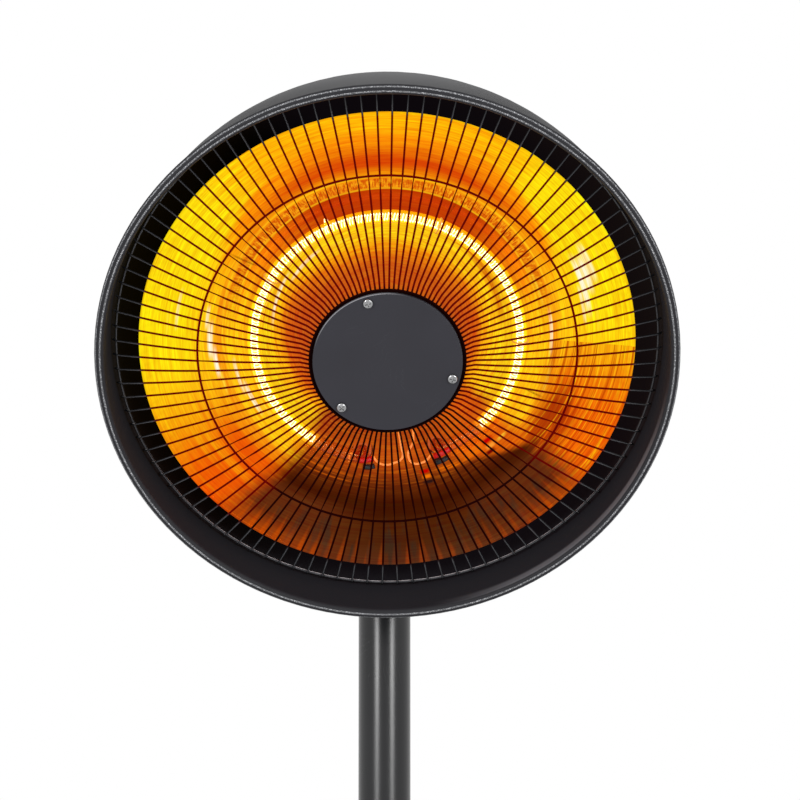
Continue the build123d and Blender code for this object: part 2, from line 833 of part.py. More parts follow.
with BuildPart() as switch_body:
    with BuildSketch(head.offset(-housing_back_depth + switch_depth)):
        with Locations((switch_offset, 0)):
            Rectangle(switch_width, switch_height)
    extrude(amount=-switch_depth)
    with BuildSketch(head.offset(-housing_back_depth)):
        with Locations((switch_offset, 0)):
            RectangleRounded(
                switch_width + 2 * switch_bezel, switch_height + 2 * switch_bezel, switch_corner
            )
    extrude(amount=-switch_bezel_thickness)
    with BuildSketch(bezel_back):
        with Locations((switch_offset, 0)):
            Rectangle(cavity_width, 2 * (rocker_radius + rocker_gap))
    extrude(
        amount=switch_bezel_thickness + rocker_radius + rocker_gap, mode=Mode.SUBTRACT
    )
    with BuildSketch(switch_section):
        Circle(rocker_pin_radius + running_clearance)
    extrude(amount=switch_width / 2 - switch_wall / 3, both=True, mode=Mode.SUBTRACT)
write(switch_body.part, "switch_body")

rocker_along, rocker_out = polar(1, rocker_swing)
rocker_section = Plane(
    origin=switch_section.origin,
    x_dir=head.y_dir * rocker_along + head.z_dir * rocker_out,
    z_dir=head.x_dir,
)

with BuildPart() as switch_rocker:
    with BuildSketch(rocker_section):
        Circle(rocker_radius)
        with BuildLine():
            Polyline(
                (-rocker_radius, rocker_radius),
                (-rocker_radius, -switch_bezel_thickness - rocker_peak),
                (0, -switch_bezel_thickness),
                (rocker_radius, -switch_bezel_thickness - rocker_peak),
                (rocker_radius, rocker_radius),
                close=True,
            )
        make_face(mode=Mode.INTERSECT)
    extrude(amount=rocker_width / 2, both=True)
    with BuildSketch(switch_section):
        Circle(rocker_pin_radius)
    extrude(amount=cavity_width / 2 + switch_wall / 2, both=True)
write(switch_rocker.part, "switch_rocker")

# ---------------------------------------------------------------- tilt hinge
ear_inner = lug_thickness / 2 + pivot_washer + 2 * pivot_side_play
ear_outer = ear_inner + fork_ear
pole_top = pivot_height - fork_below_pivot - fork_cap

with BuildPart() as hinge_lug:
    with BuildSketch(head.offset(-housing_back_depth)):
        Circle(lug_flange_radius)
    extrude(amount=-lug_flange)
    with BuildSketch(Plane(origin=pivot, x_dir=-head.z_dir, z_dir=head.x_dir)):
        with Locations((housing_back_depth - pivot_depth, 0)):
            Rectangle(
                pivot_depth - housing_back_depth, 2 * lug_end_radius, align=(Align.MIN, Align.CENTER)
            )
        Circle(lug_end_radius)
    extrude(amount=lug_thickness / 2, both=True)
    with BuildSketch(pivot_plane):
        Circle(pivot_bolt_radius + running_clearance)
    extrude(amount=lug_thickness, both=True, mode=Mode.SUBTRACT)
    with BuildSketch(head.offset(-housing_back_depth)):
        for angle in lug_bolt_angles:
            with Locations(polar(lug_bolt_circle, angle)):
                Circle(m6[0] + fit_clearance)
    extrude(amount=-lug_flange, mode=Mode.SUBTRACT)
write(hinge_lug.part, "hinge_lug")

lug_bolt_places = [
    head.offset(-housing_floor_depth).location * Location((*polar(lug_bolt_circle, angle), 0))
    for angle in lug_bolt_angles
]
write(placed(screw(m6, housing_back + lug_flange, crossed=False), lug_bolt_places), "lug_bolts")

fork_screw_height = pole_top - fork_spigot_length / 2
spigot_radius = pole_radius - pole_wall - fit_clearance
with BuildPart() as pole_fork:
    with BuildSketch(Plane.XY.offset(pole_top - fork_spigot_length)):
        Circle(spigot_radius)
    extrude(amount=fork_spigot_length)
    with BuildSketch(Plane.XY.offset(pole_top)):
        Circle(fork_cap_radius)
    extrude(amount=fork_cap)
    fillet(pole_fork.edges().group_by(Axis.Z)[-1], edge_round)
    with BuildSketch(pivot_plane):
        Circle(fork_ear_radius)
        with Locations((0, 0)):
            Rectangle(
                2 * fork_ear_radius,
                fork_below_pivot + fork_cap / 2,
                align=(Align.CENTER, Align.MAX),
            )
    extrude(amount=ear_outer, both=True)
    with BuildSketch(pivot_plane):
        with Locations((0, fork_ear_radius)):
            Rectangle(
                4 * fork_ear_radius,
                fork_below_pivot + fork_ear_radius,
                align=(Align.CENTER, Align.MAX),
            )
    extrude(amount=ear_inner, both=True, mode=Mode.SUBTRACT)
    with BuildSketch(pivot_plane):
        Circle(pivot_bolt_radius + fit_clearance)
    extrude(amount=ear_outer, both=True, mode=Mode.SUBTRACT)
    with BuildSketch(Plane.XY.offset(pole_top - fork_spigot_length)):
        Circle(spigot_radius - coupler_wall * 2)
    extrude(amount=fork_spigot_length - fork_cap, mode=Mode.SUBTRACT)
    with BuildSketch(Plane(origin=(0, 0, fork_screw_height), x_dir=(1, 0, 0), z_dir=(0, 1, 0))):
        Circle(m5[0] + fit_clearance)
    extrude(amount=pole_radius, both=True, mode=Mode.SUBTRACT)
write(pole_fork.part, "pole_fork")

bolt_tip = ear_outer + knob_length + pivot_washer
with BuildPart() as pivot_bolt:
    with BuildSketch(pivot_plane.offset(-ear_outer)):
        Circle(pivot_bolt_radius)
    extrude(amount=ear_outer + bolt_tip)
    with BuildSketch(pivot_plane.offset(-ear_outer)):
        Circle(2 * pivot_bolt_radius)
    extrude(amount=-1.2 * pivot_bolt_radius)
    fillet(pivot_bolt.edges().group_by(Axis.X)[0], pivot_bolt_radius / 2)
write(pivot_bolt.part, "pivot_bolt")

with BuildPart() as friction_washers:
    for side in (-1, 1):
        near_face = lug_thickness / 2 + pivot_side_play
        with BuildSketch(pivot_plane.offset(side * near_face)):
            Circle(pivot_washer_radius)
            Circle(pivot_bolt_radius + fit_clearance, mode=Mode.SUBTRACT)
        extrude(amount=side * pivot_washer)
write(friction_washers.part, "friction_washers")

knob_washer = ring(
    pivot_plane.offset(ear_outer), pivot_washer_radius, pivot_bolt_radius + fit_clearance, pivot_washer
)
write(knob_washer, "knob_washer")

knob_plane = pivot_plane.offset(ear_outer + pivot_washer + pivot_side_play)
with BuildPart() as tilt_knob:
    with BuildSketch(knob_plane):
        Circle(knob_radius - lobe_radius)
        with PolarLocations(knob_radius - lobe_radius, knob_lobes):
            Circle(lobe_radius)
    extrude(amount=knob_length)
    fillet(tilt_knob.edges().group_by(Axis.X)[-1], edge_round)
    with BuildSketch(knob_plane):
        Circle(knob_insert_radius)
    extrude(amount=knob_length, mode=Mode.SUBTRACT)
write(tilt_knob.part, "tilt_knob")

knob_insert = ring(
    knob_plane, knob_insert_radius, pivot_bolt_radius + running_clearance, knob_length
)
write(knob_insert, "knob_insert")

# ---------------------------------------------------------------- pole
socket_top = base_top_height + socket_flange
pole_length = (pole_top - socket_top) / pole_pieces
piece_names = ["pole_lower", "pole_middle", "pole_upper"]
joint_heights = [socket_top + pole_length * number for number in range(1, pole_pieces)]
socket_screw_height = socket_top + socket_spigot_length * 0.75
screw_heights = [socket_screw_height, fork_screw_height]
for joint_height in joint_heights:
    screw_heights += [joint_height - joint_screw_offset, joint_height + joint_screw_offset]
pole_gland_height = fork_screw_height - fork_spigot_length

for number, name in enumerate(piece_names):
    bottom = socket_top + pole_length * number
    with BuildPart() as pole:
        with BuildSketch(Plane.XY.offset(bottom)):
            Circle(pole_radius)
            Circle(pole_radius - pole_wall, mode=Mode.SUBTRACT)
        extrude(amount=pole_length)
        for height in screw_heights:
            with BuildSketch(Plane(origin=(0, 0, height), x_dir=(1, 0, 0), z_dir=(0, 1, 0))):
                Circle(m5[0] + screw_clearance)
            extrude(amount=2 * pole_radius, mode=Mode.SUBTRACT)
        with BuildSketch(Plane(origin=(0, 0, pole_gland_height), x_dir=(1, 0, 0), z_dir=(0, -1, 0))):
            Circle(gland_radius + screw_clearance)
        extrude(amount=2 * pole_radius, mode=Mode.SUBTRACT)
    write(pole.part, name)

with BuildPart() as pole_grommet:
    with BuildSketch(
        Plane(origin=(0, -pole_radius + 2 * pole_wall, pole_gland_height), x_dir=(1, 0, 0), z_dir=(0, -1, 0))
    ):
        Circle(gland_radius)
        Circle(gland_bore_radius, mode=Mode.SUBTRACT)
    extrude(amount=2 * pole_wall + grommet_flange)
    with BuildSketch(
        Plane(origin=(0, -pole_radius, pole_gland_height), x_dir=(1, 0, 0), z_dir=(0, -1, 0))
    ):
        Circle(gland_radius + grommet_lip)
        Circle(gland_radius, mode=Mode.SUBTRACT)
    extrude(amount=grommet_flange)
write(pole_grommet.part, "pole_grommet")

for name, joint_height in zip(["lower_coupler", "upper_coupler"], joint_heights):
    with BuildPart() as coupler:
        with BuildSketch(Plane.XY.offset(joint_height - coupler_length / 2)):
            Circle(spigot_radius)
            Circle(spigot_radius - coupler_wall, mode=Mode.SUBTRACT)
        extrude(amount=coupler_length)
        for side in (-1, 1):
            height = joint_height + side * joint_screw_offset
            with BuildSketch(Plane(origin=(0, 0, height), x_dir=(1, 0, 0), z_dir=(0, 1, 0))):
                Circle(m5[0] + fit_clearance)
            extrude(amount=pole_radius, mode=Mode.SUBTRACT)
    write(coupler.part, name)

# Flat underside of each screw head just clears the round tube, as a cup washer would.
head_seat = pole_radius + fit_clearance
pole_screw_places = [
    Plane(origin=(0, head_seat, height), x_dir=(1, 0, 0), z_dir=(0, 1, 0)).location
    for height in screw_heights
]
pole_screw_length = head_seat - (pole_radius - pole_wall - coupler_wall)
write(placed(screw(m5, pole_screw_length, crossed=False), pole_screw_places), "pole_screws")

# ---------------------------------------------------------------- base
base_inside_radius = base_radius - base_sheet
base_gland_height = (base_edge_gap + base_shoulder_height - base_shoulder_fillet) / 2
base_gland_plane = Plane(origin=(0, base_radius, base_gland_height), x_dir=(1, 0, 0), z_dir=(0, 1, 0))

with BuildPart() as base_cover:
    with BuildSketch(tower_section) as cover_profile:
        with BuildLine():
            Polyline(
                (0, base_edge_gap),
                (base_radius, base_edge_gap),
                (base_radius, base_shoulder_height),
                (base_top_radius, base_top_height),
                (0, base_top_height),
                close=True,
            )
        make_face()
        shoulder = cover_profile.vertices().sort_by(Axis.X).group_by(Axis.X)[-1].sort_by(Axis.Y)[-1]
        fillet(shoulder, base_shoulder_fillet)
        with BuildSketch(mode=Mode.PRIVATE) as cover_hollow:
            with BuildLine():
                Polyline(
                    (0, base_edge_gap),
                    (base_inside_radius, base_edge_gap),
                    (base_inside_radius, base_shoulder_height - base_sheet),
                    (base_top_radius, base_top_height - base_sheet),
                    (0, base_top_height - base_sheet),
                    close=True,
                )
            make_face()
            inner_shoulder = cover_hollow.vertices().group_by(Axis.X)[-1].sort_by(Axis.Y)[-1]
            fillet(inner_shoulder, base_shoulder_fillet - base_sheet)
        add(cover_hollow.sketch, mode=Mode.SUBTRACT)
    revolve(axis=Axis.Z)
    with BuildSketch(Plane.XY.offset(base_top_height)):
        Circle(spigot_radius - socket_wall)
        with PolarLocations(socket_bolt_circle, socket_bolt_count, 45):
            Circle(m8[0] + screw_clearance)
    extrude(amount=2 * base_sheet, both=True, mode=Mode.SUBTRACT)
    with BuildSketch(base_gland_plane):
        Circle(gland_radius + screw_clearance)
    extrude(amount=-2 * base_sheet, mode=Mode.SUBTRACT)
write(base_cover.part, "base_cover")

boss_top = base_top_height - base_sheet
tip_plane = Plane.XY.offset(foot_height + ballast_thickness)
with BuildPart() as ballast_disc:
    with BuildSketch(Plane.XY.offset(foot_height)):
        Circle(ballast_radius)
    extrude(amount=ballast_thickness)
    fillet(ballast_disc.edges().group_by(Axis.Z)[-1], edge_round)
    with BuildSketch(Plane.XY.offset(foot_height)):
        Circle(boss_radius)
    extrude(amount=boss_top - foot_height)
    with BuildSketch(Plane.XY.offset(foot_height)):
        Circle(spigot_radius - socket_wall)
        with Locations((0, tip_offset)):
            Circle(plunger_collar_radius)
    extrude(amount=boss_top, mode=Mode.SUBTRACT)
    with BuildSketch(Plane.XY.offset(boss_top)):
        with PolarLocations(socket_bolt_circle, socket_bolt_count, 45):
            Circle(m8[0] + fit_clearance)
    extrude(amount=-socket_bolt_bite, mode=Mode.SUBTRACT)
write(ballast_disc.part, "ballast_disc")

write(ring(Plane.XY, foot_outer_radius, foot_inner_radius, foot_height), "foot_ring")

with BuildPart() as pole_socket:
    with BuildSketch(Plane.XY.offset(base_top_height)):
        Circle(socket_flange_radius)
    extrude(amount=socket_flange)
    with BuildSketch(Plane.XY.offset(socket_top)):
        Circle(spigot_radius)
    extrude(amount=socket_spigot_length)
    with BuildSketch(Plane.XY.offset(base_top_height)):
        Circle(spigot_radius - socket_wall)
        with PolarLocations(socket_bolt_circle, socket_bolt_count, 45):
            Circle(m8[0] + screw_clearance)
    extrude(amount=socket_flange + socket_spigot_length, mode=Mode.SUBTRACT)
    with BuildSketch(Plane(origin=(0, 0, socket_screw_height), x_dir=(1, 0, 0), z_dir=(0, 1, 0))):
        Circle(m5[0] + fit_clearance)
    extrude(amount=pole_radius, mode=Mode.SUBTRACT)
write(pole_socket.part, "pole_socket")

socket_bolt_places = [
    Location((*polar(socket_bolt_circle, 45 + turn * 360 / socket_bolt_count), socket_top))
    for turn in range(socket_bolt_count)
]
bolt_reach = socket_flange + base_sheet + socket_bolt_bite - bolt_end_gap
write(placed(screw(m8, bolt_reach, crossed=False), socket_bolt_places), "socket_bolts")

with BuildPart() as base_collar:
    with BuildSketch(tower_section):
        with Locations((0, base_top_height)):
            Rectangle(collar_radius, collar_height, align=(Align.MIN, Align.MIN))
    revolve(axis=Axis.Z)
    fillet(base_collar.edges().group_by(Axis.Z)[-1], collar_round)
    with BuildSketch(Plane.XY.offset(base_top_height - 1)):
        Circle(collar_radius - collar_sheet)
    extrude(amount=collar_height - collar_sheet + 1, mode=Mode.SUBTRACT)
    with BuildSketch(Plane.XY.offset(base_top_height)):
        Circle(pole_radius + collar_gap)
    extrude(amount=collar_height, mode=Mode.SUBTRACT)
write(base_collar.part, "base_collar")

write(placed(gland(base_sheet), [base_gland_plane.location]), "base_gland")

# ---------------------------------------------------------------- tip-over switch
tip_floor = foot_height + ballast_thickness
tip_cavity_radius = plunger_collar_radius + running_clearance
tip_cavity_top = tip_floor + tip_body_height - tip_wall
collar_bottom = tip_floor + tip_wall + plunger_travel
collar_top = collar_bottom + plunger_collar
stem_top = tip_cavity_top - stem_end_gap

with BuildPart() as tip_switch_body:
    with BuildSketch(tip_plane):
        with Locations((0, tip_offset)):
            RectangleRounded(tip_body_width, tip_body_width, tip_corner)
    extrude(amount=tip_body_height)
    with BuildSketch(tip_plane.offset(tip_wall)):
        with Locations((0, tip_offset)):
            Circle(tip_cavity_radius)
    extrude(amount=tip_body_height - 2 * tip_wall, mode=Mode.SUBTRACT)
    with BuildSketch(tip_plane):
        with Locations((0, tip_offset)):
            Circle(plunger_radius + running_clearance)
    extrude(amount=tip_wall, mode=Mode.SUBTRACT)
write(tip_switch_body.part, "tip_switch_body")

with BuildPart() as tip_plunger:
    with BuildSketch(Plane.XY):
        with Locations((0, tip_offset)):
            Circle(plunger_radius)
    extrude(amount=collar_bottom)
    fillet(tip_plunger.edges().group_by(Axis.Z)[0], plunger_radius / 3)
    with BuildSketch(Plane.XY.offset(collar_bottom)):
        with Locations((0, tip_offset)):
            Circle(plunger_collar_radius)
    extrude(amount=plunger_collar)
    with BuildSketch(Plane.XY.offset(collar_top)):
        with Locations((0, tip_offset)):
            Circle(plunger_stem_radius)
    extrude(amount=stem_top - collar_top)
write(tip_plunger.part, "tip_plunger")

spring_radius = (plunger_collar_radius + plunger_stem_radius) / 2
spring_bottom = collar_top + spring_wire_radius
spring_height = tip_cavity_top - spring_wire_radius - spring_bottom
with BuildPart() as tip_spring:
    with BuildLine() as coil:
        Helix(spring_height / spring_turns, spring_height, spring_radius, (0, tip_offset, spring_bottom))
    with BuildSketch(Plane(origin=coil.line @ 0, z_dir=coil.line % 0)):
        Circle(spring_wire_radius)
    sweep(is_frenet=True)
write(tip_spring.part, "tip_spring")
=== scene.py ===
import math

import bmesh
import bpy
from mathutils import Matrix, Vector, noise


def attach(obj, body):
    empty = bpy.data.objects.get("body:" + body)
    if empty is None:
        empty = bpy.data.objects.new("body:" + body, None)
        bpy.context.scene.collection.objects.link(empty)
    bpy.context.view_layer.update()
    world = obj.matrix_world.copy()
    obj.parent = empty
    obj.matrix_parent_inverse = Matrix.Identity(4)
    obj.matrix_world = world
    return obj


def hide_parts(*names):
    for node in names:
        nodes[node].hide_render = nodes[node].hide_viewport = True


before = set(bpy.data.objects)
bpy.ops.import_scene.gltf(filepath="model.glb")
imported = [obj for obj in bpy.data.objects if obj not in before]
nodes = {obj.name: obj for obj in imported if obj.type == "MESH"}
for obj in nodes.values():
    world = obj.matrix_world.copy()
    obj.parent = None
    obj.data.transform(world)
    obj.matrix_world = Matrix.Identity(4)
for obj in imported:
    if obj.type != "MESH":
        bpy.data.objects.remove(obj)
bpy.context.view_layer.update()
print("frame loaded,", len(nodes), "nodes")

# The head looks along -Y and down. Its own frame has X across, Y up its face and Z out of its rim.
headFrame = {"tilt": 32, "pivotHeight": 2.05, "rimAhead": 0.352}
headTilt = math.radians(headFrame["tilt"])
headOut = Vector((0, -math.cos(headTilt), -math.sin(headTilt)))
headAcross = Vector((1, 0, 0))
headUp = headOut.cross(headAcross)
rimCentre = Vector((0, 0, headFrame["pivotHeight"])) + headOut * headFrame["rimAhead"]
headTurn = Matrix((headAcross, headUp, headOut)).transposed()


def headPoint(across, up, depth):  # metres, depth behind the rim
    return rimCentre + headAcross * across + headUp * up - headOut * depth


def headPointMm(place):
    across, up, depth = place
    return headPoint(across / 1000, up / 1000, depth / 1000)


def tint(red, green, blue):  # screen colour, 0 to 255, as a linear colour
    linear = [(part / 255) ** 2.2 for part in (red, green, blue)]
    return (*linear, 1)


def addObject(name, data):
    made = bpy.data.objects.new(name, data)
    bpy.context.scene.collection.objects.link(made)
    return made


# small helpers for shader trees

class shaderValue:  # one output of a shader node; a sum with it adds a Math node to its tree
    def __init__(self, tree, node, output=0):
        self.tree = tree
        self.node = node
        self.socket = node.outputs[output]

    def __getitem__(self, output):  # another output of the same node
        return shaderValue(self.tree, self.node, output)

    def __add__(self, other):
        return calc("ADD", self, other)

    def __sub__(self, other):
        return calc("SUBTRACT", self, other)

    def __rsub__(self, other):
        return calc("SUBTRACT", other, self)

    def __mul__(self, other):
        return calc("MULTIPLY", self, other)

    def __truediv__(self, other):
        return calc("DIVIDE", self, other)


def feed(node, **inputs):  # Base_Color is the input of that name, and i0 the node's first one
    for name, value in inputs.items():
        numbered = name[0] == "i" and name[1:].isdigit()
        socket = node.inputs[int(name[1:]) if numbered else name.replace("_", " ")]
        if isinstance(value, shaderValue):
            value.tree.links.new(value.socket, socket)
        else:
            socket.default_value = value


def addNode(tree, kind, given=None, **inputs):
    node = tree.nodes.new("ShaderNode" + kind)
    for name, value in (given or {}).items():
        setattr(node, name, value)
    feed(node, **inputs)
    return shaderValue(tree, node)


def treeOf(*values):
    return next(value.tree for value in values if isinstance(value, shaderValue))


def calc(operation, first, second=0, clamp=False):
    given = {"operation": operation, "use_clamp": clamp}
    return addNode(treeOf(first, second), "Math", given, i0=first, i1=second)


def rescale(value, start, end, toStart, toEnd, kind="LINEAR"):
    return addNode(
        value.tree, "MapRange", {"interpolation_type": kind},
        Value=value, From_Min=start, From_Max=end, To_Min=toStart, To_Max=toEnd,
    )


def fade(value, start, end):  # 0 at start, 1 at end, smooth between
    return rescale(value, start, end, 0, 1, "SMOOTHSTEP")


def band(value, centre, halfWidth, soft):  # 1 near the centre, 0 beyond
    return fade(calc("ABSOLUTE", value - centre), halfWidth + soft, halfWidth)


def mix(share, low, high, blend="MIX"):
    given = {"data_type": "RGBA", "blend_type": blend}
    return addNode(treeOf(share, low, high), "Mix", given, i0=share, i6=low, i7=high)[2]


def ramp(value, stops):
    made = addNode(value.tree, "ValToRGB", Fac=value)
    elements = made.node.color_ramp.elements
    while len(elements) > 1:
        elements.remove(elements[-1])
    elements[0].position, elements[0].color = stops[0]
    for position, colour in stops[1:]:
        elements.new(position).color = colour
    return made


def toneOf(value, given, start=0.3, end=0.7):
    return ramp(value, [(start, given["dark"]), (end, given["light"])])


def vector(x, y):
    return addNode(treeOf(x, y), "CombineXYZ", X=x, Y=y)


def grainNoise(place, scale, detail=2, roughness=0.5):
    return addNode(place.tree, "TexNoise", Vector=place, Scale=scale, Detail=detail, Roughness=roughness)


def pebbles(place, scale):
    return addNode(place.tree, "TexVoronoi", Vector=place, Scale=scale)["Distance"]


def objectPlace(tree):
    return addNode(tree, "TexCoord")["Object"]


def objectNormal(tree):
    return addNode(tree, "TexCoord")["Normal"]


def upward(tree):  # 1 where the surface faces up
    return addNode(tree, "SeparateXYZ", Vector=objectNormal(tree))[2]


def forward(tree):  # 1 where the surface faces out of the head
    given = {"operation": "DOT_PRODUCT"}
    return addNode(tree, "VectorMath", given, i0=objectNormal(tree), i1=headOut)["Value"]


def degreesOf(up, across):
    return calc("ARCTAN2", up, across) * (180 / math.pi)


def newGroup(name, inputs, make):
    tree = bpy.data.node_groups.new(name, "ShaderNodeTree")
    for socketName, value in inputs.items():
        socket = tree.interface.new_socket(socketName, in_out="INPUT", socket_type="NodeSocketFloat")
        socket.default_value = value
    source = tree.nodes.new("NodeGroupInput")
    values = make(tree, *(shaderValue(tree, source, socketName) for socketName in inputs))
    for socketName in values:
        tree.interface.new_socket(socketName, in_out="OUTPUT", socket_type="NodeSocketFloat")
    feed(tree.nodes.new("NodeGroupOutput"), **values)
    return tree


def useGroup(tree, group, **inputs):
    return addNode(tree, "Group", {"node_tree": group}, **inputs)


finishes = {}


def newFinish(name, roughness, metallic=0, specular=0.5):
    finishes[name] = bpy.data.materials.new(name)
    finishes[name].use_nodes = True
    tree = finishes[name].node_tree
    shader = tree.nodes["Principled BSDF"]
    feed(shader, Roughness=roughness, Metallic=metallic, Specular_IOR_Level=specular)
    return tree, shader


def bumped(shader, height, distance):
    feed(shader, Normal=addNode(height.tree, "Bump", Height=height, Distance=distance))


# effects that several finishes share

# where a look holds a noise, its numbers are scale, detail and roughness, or the last two of them
grainLook = {"fine": (3, 0.6), "pitShare": 0.35, "patches": (4, 0.55)}


# fine orange peel of a powder coat, and its slow change of sheen
def powderGrain(tree, grainScale, patchScale, look=grainLook):
    place = objectPlace(tree)
    fine = grainNoise(place, grainScale, *look["fine"])
    pits = pebbles(place, grainScale)
    patches = grainNoise(place, patchScale, *look["patches"])
    return {"Height": fine + pits * look["pitShare"], "Patches": patches}


dustLook = {
    "clouds": (14, 5, 0.6), "cloudy": (0.35, 0.75), "cloudShare": 0.6, "specky": (0.5, 0.7),
    "speckShare": 0.4, "lying": (0.25, 0.95),
}


def settledDust(tree, amount, speckScale, look=dustLook):  # light dust that settles on what faces up
    place = objectPlace(tree)
    cloud = fade(grainNoise(place, *look["clouds"]), *look["cloudy"]) * look["cloudShare"]
    speck = fade(grainNoise(place, speckScale), *look["specky"]) * look["speckShare"]
    return {"Mask": fade(upward(tree), *look["lying"]) * (cloud + speck) * amount}


rubLook = {
    "bendScale": 6, "distortion": 9, "detail": 3, "thin": (0.985, 1), "parts": (22, 3),
    "partly": (0.55, 0.7),
}


def rubMarks(tree, scale, amount, look=rubLook):  # short fine scuffs in no special direction
    place = objectPlace(tree)
    push = grainNoise(place, look["bendScale"])["Color"]
    bent = addNode(tree, "VectorMath", {"operation": "ADD"}, i0=place, i1=push)
    wave = addNode(
        tree, "TexWave", Vector=bent, Scale=scale, Distortion=look["distortion"], Detail=look["detail"],
    )
    parts = fade(grainNoise(place, *look["parts"]), *look["partly"])
    return {"Mask": fade(wave["Fac"], *look["thin"]) * parts * amount}


def headPolar(tree):  # mm from the head's axis, degrees round it from the right, mm behind the rim
    local = addNode(
        tree, "Mapping", {"vector_type": "TEXTURE"},
        Vector=objectPlace(tree), Location=rimCentre, Rotation=headTurn.to_euler("XYZ"),
    )
    parted = addNode(tree, "SeparateXYZ", Vector=local)
    across = parted[0] * 1000
    up = parted[1] * 1000
    return {
        "Radius": calc("SQRT", across * across + up * up),
        "Degrees": calc("FLOORED_MODULO", degreesOf(up, across), 360),
        "Depth": parted[2] * -1000,
        "Across": across,
        "Up": up,
    }


grainGroup = newGroup("powderGrain", {"Grain Scale": 900, "Patch Scale": 9}, powderGrain)
dustGroup = newGroup("settledDust", {"Amount": 0.3, "Speck Scale": 260}, settledDust)
rubGroup = newGroup("rubMarks", {"Scale": 30, "Amount": 0.5}, rubMarks)
polarGroup = newGroup("headPolar", {}, headPolar)
print("shared effects made")


# camera, light and floor

cameraPlace = {
    "away": 2.5, "azimuth": -0.5, "elevation": -7.3, "aimRight": 0.0097, "aimDown": 0.0289, "lens": 143.5,
}


def placeCamera(given):
    azimuth, elevation = (math.radians(given[k]) for k in ("azimuth", "elevation"))
    level = math.cos(elevation)
    back = Vector((math.sin(azimuth) * level, -math.cos(azimuth) * level, math.sin(elevation)))
    right = (-back).cross(Vector((0, 0, 1))).normalized()
    data = bpy.data.cameras.new("photoCamera")
    data.lens = given["lens"]
    data.sensor_width = 36
    data.clip_start = 0.05
    data.clip_end = 100
    camera = addObject("photoCamera", data)
    camera.location = rimCentre + back * given["away"]
    aim = rimCentre + right * given["aimRight"] - right.cross(-back) * given["aimDown"]
    camera.rotation_mode = "QUATERNION"
    camera.rotation_quaternion = (aim - camera.location).to_track_quat("-Z", "Y")
    bpy.context.scene.camera = camera


studio = {
    "softboxTurn": 34, "softboxAway": 3.2, "softboxWidth": 0.85, "softboxHeight": 0.9, "softboxWatts": 40,
    "softboxCentre": 2.05, "worldLight": 0.6,
}


def seenDirectly(tree):  # by camera, mirror and glass rays
    path = addNode(tree, "LightPath")
    mirrored = calc("MAXIMUM", path["Is Glossy Ray"], path["Is Transmission Ray"])
    return calc("MAXIMUM", path["Is Camera Ray"], mirrored)


def lightStudio(given):
    away, height = given["softboxAway"], given["softboxCentre"]
    for name, side in (("softboxLeft", -1), ("softboxRight", 1)):
        data = bpy.data.lights.new("softbox", "AREA")
        data.shape = "RECTANGLE"
        data.size = given["softboxWidth"]
        data.size_y = given["softboxHeight"]
        data.energy = given["softboxWatts"]
        light = addObject(name, data)
        turn = math.radians(given["softboxTurn"] * side)
        light.location = (away * math.sin(turn), -away * math.cos(turn), height)
        light.rotation_euler = (Vector((0, 0, height)) - light.location).to_track_quat("-Z", "Y").to_euler()
        light.visible_camera = False

    world = bpy.data.worlds.new("paleStudio")
    bpy.context.scene.world = world
    world.use_nodes = True
    tree = world.node_tree
    level = rescale(seenDirectly(tree), 0, 1, given["worldLight"], 1)
    feed(tree.nodes["Background"], Color=(1, 1, 1, 1), Strength=level)


studioFloor = {
    "size": 80, "roughness": 0.8, "specular": 0.1, "clouds": (3, 4), "dark": (0.84, 0.84, 0.84, 1),
    "light": (0.88, 0.88, 0.88, 1), "fading": (0.6, 3.6), "whiteShare": 0.5,
}


def layFloor(given):
    mesh = bpy.data.meshes.new("studioFloor")
    half = given["size"] / 2
    corners = [(-half, -half, 0), (half, -half, 0), (half, half, 0), (-half, half, 0)]
    mesh.from_pydata(corners, [], [(0, 1, 2, 3)])
    floor = addObject("studioFloor", mesh)
    tree, shader = newFinish("paleFloor", given["roughness"], specular=given["specular"])
    place = objectPlace(tree)
    feed(shader, Base_Color=toneOf(grainNoise(place, *given["clouds"]), given))
    # it turns to plain white away from the object, so that it has no edge
    away = addNode(tree, "VectorMath", {"operation": "LENGTH"}, i0=place)["Value"]
    white = rescale(away, *given["fading"], given["whiteShare"], 1, "SMOOTHSTEP")
    glow = addNode(tree, "Emission", Color=(1, 1, 1, 1), Strength=1)
    mixed = addNode(tree, "MixShader", i0=seenDirectly(tree) * white, i2=glow)
    tree.links.new(shader.outputs[0], mixed.node.inputs[1])
    feed(tree.nodes["Material Output"], Surface=mixed)
    mesh.materials.append(finishes["paleFloor"])


placeCamera(cameraPlace)
lightStudio(studio)
layFloor(studioFloor)
bpy.context.scene.view_settings.view_transform = "Standard"
print("camera, light and floor set")


# finishes of the black pieces

coatWear = {
    "dust": (0.3, 0.29, 0.27, 1), "rubbed": (0.16, 0.16, 0.17, 1), "dustRoughness": 0.4,
    "patches": (0.25, 0.75), "smoother": 0.05, "rougher": 0.06,
}


def blackCoat(name, coat, wear=coatWear):
    tree, shader = newFinish(name, coat["roughness"], specular=coat["specular"])
    grain = useGroup(tree, grainGroup, Grain_Scale=coat["grain"], Patch_Scale=coat["patches"])
    dust = useGroup(tree, dustGroup, Amount=coat["dust"])
    rubs = useGroup(tree, rubGroup, Scale=coat["rubScale"], Amount=coat["rubs"])
    dusty = mix(dust, toneOf(grain["Patches"], coat), wear["dust"])
    paint = mix(rubs, dusty, wear["rubbed"])
    least, most = coat["roughness"] - wear["smoother"], coat["roughness"] + wear["rougher"]
    rough = rescale(grain["Patches"], *wear["patches"], least, most) + dust * wear["dustRoughness"]
    feed(shader, Base_Color=paint, Roughness=rough)
    bumped(shader, grain["Height"], coat["bump"])
    return tree, shader, paint, rough


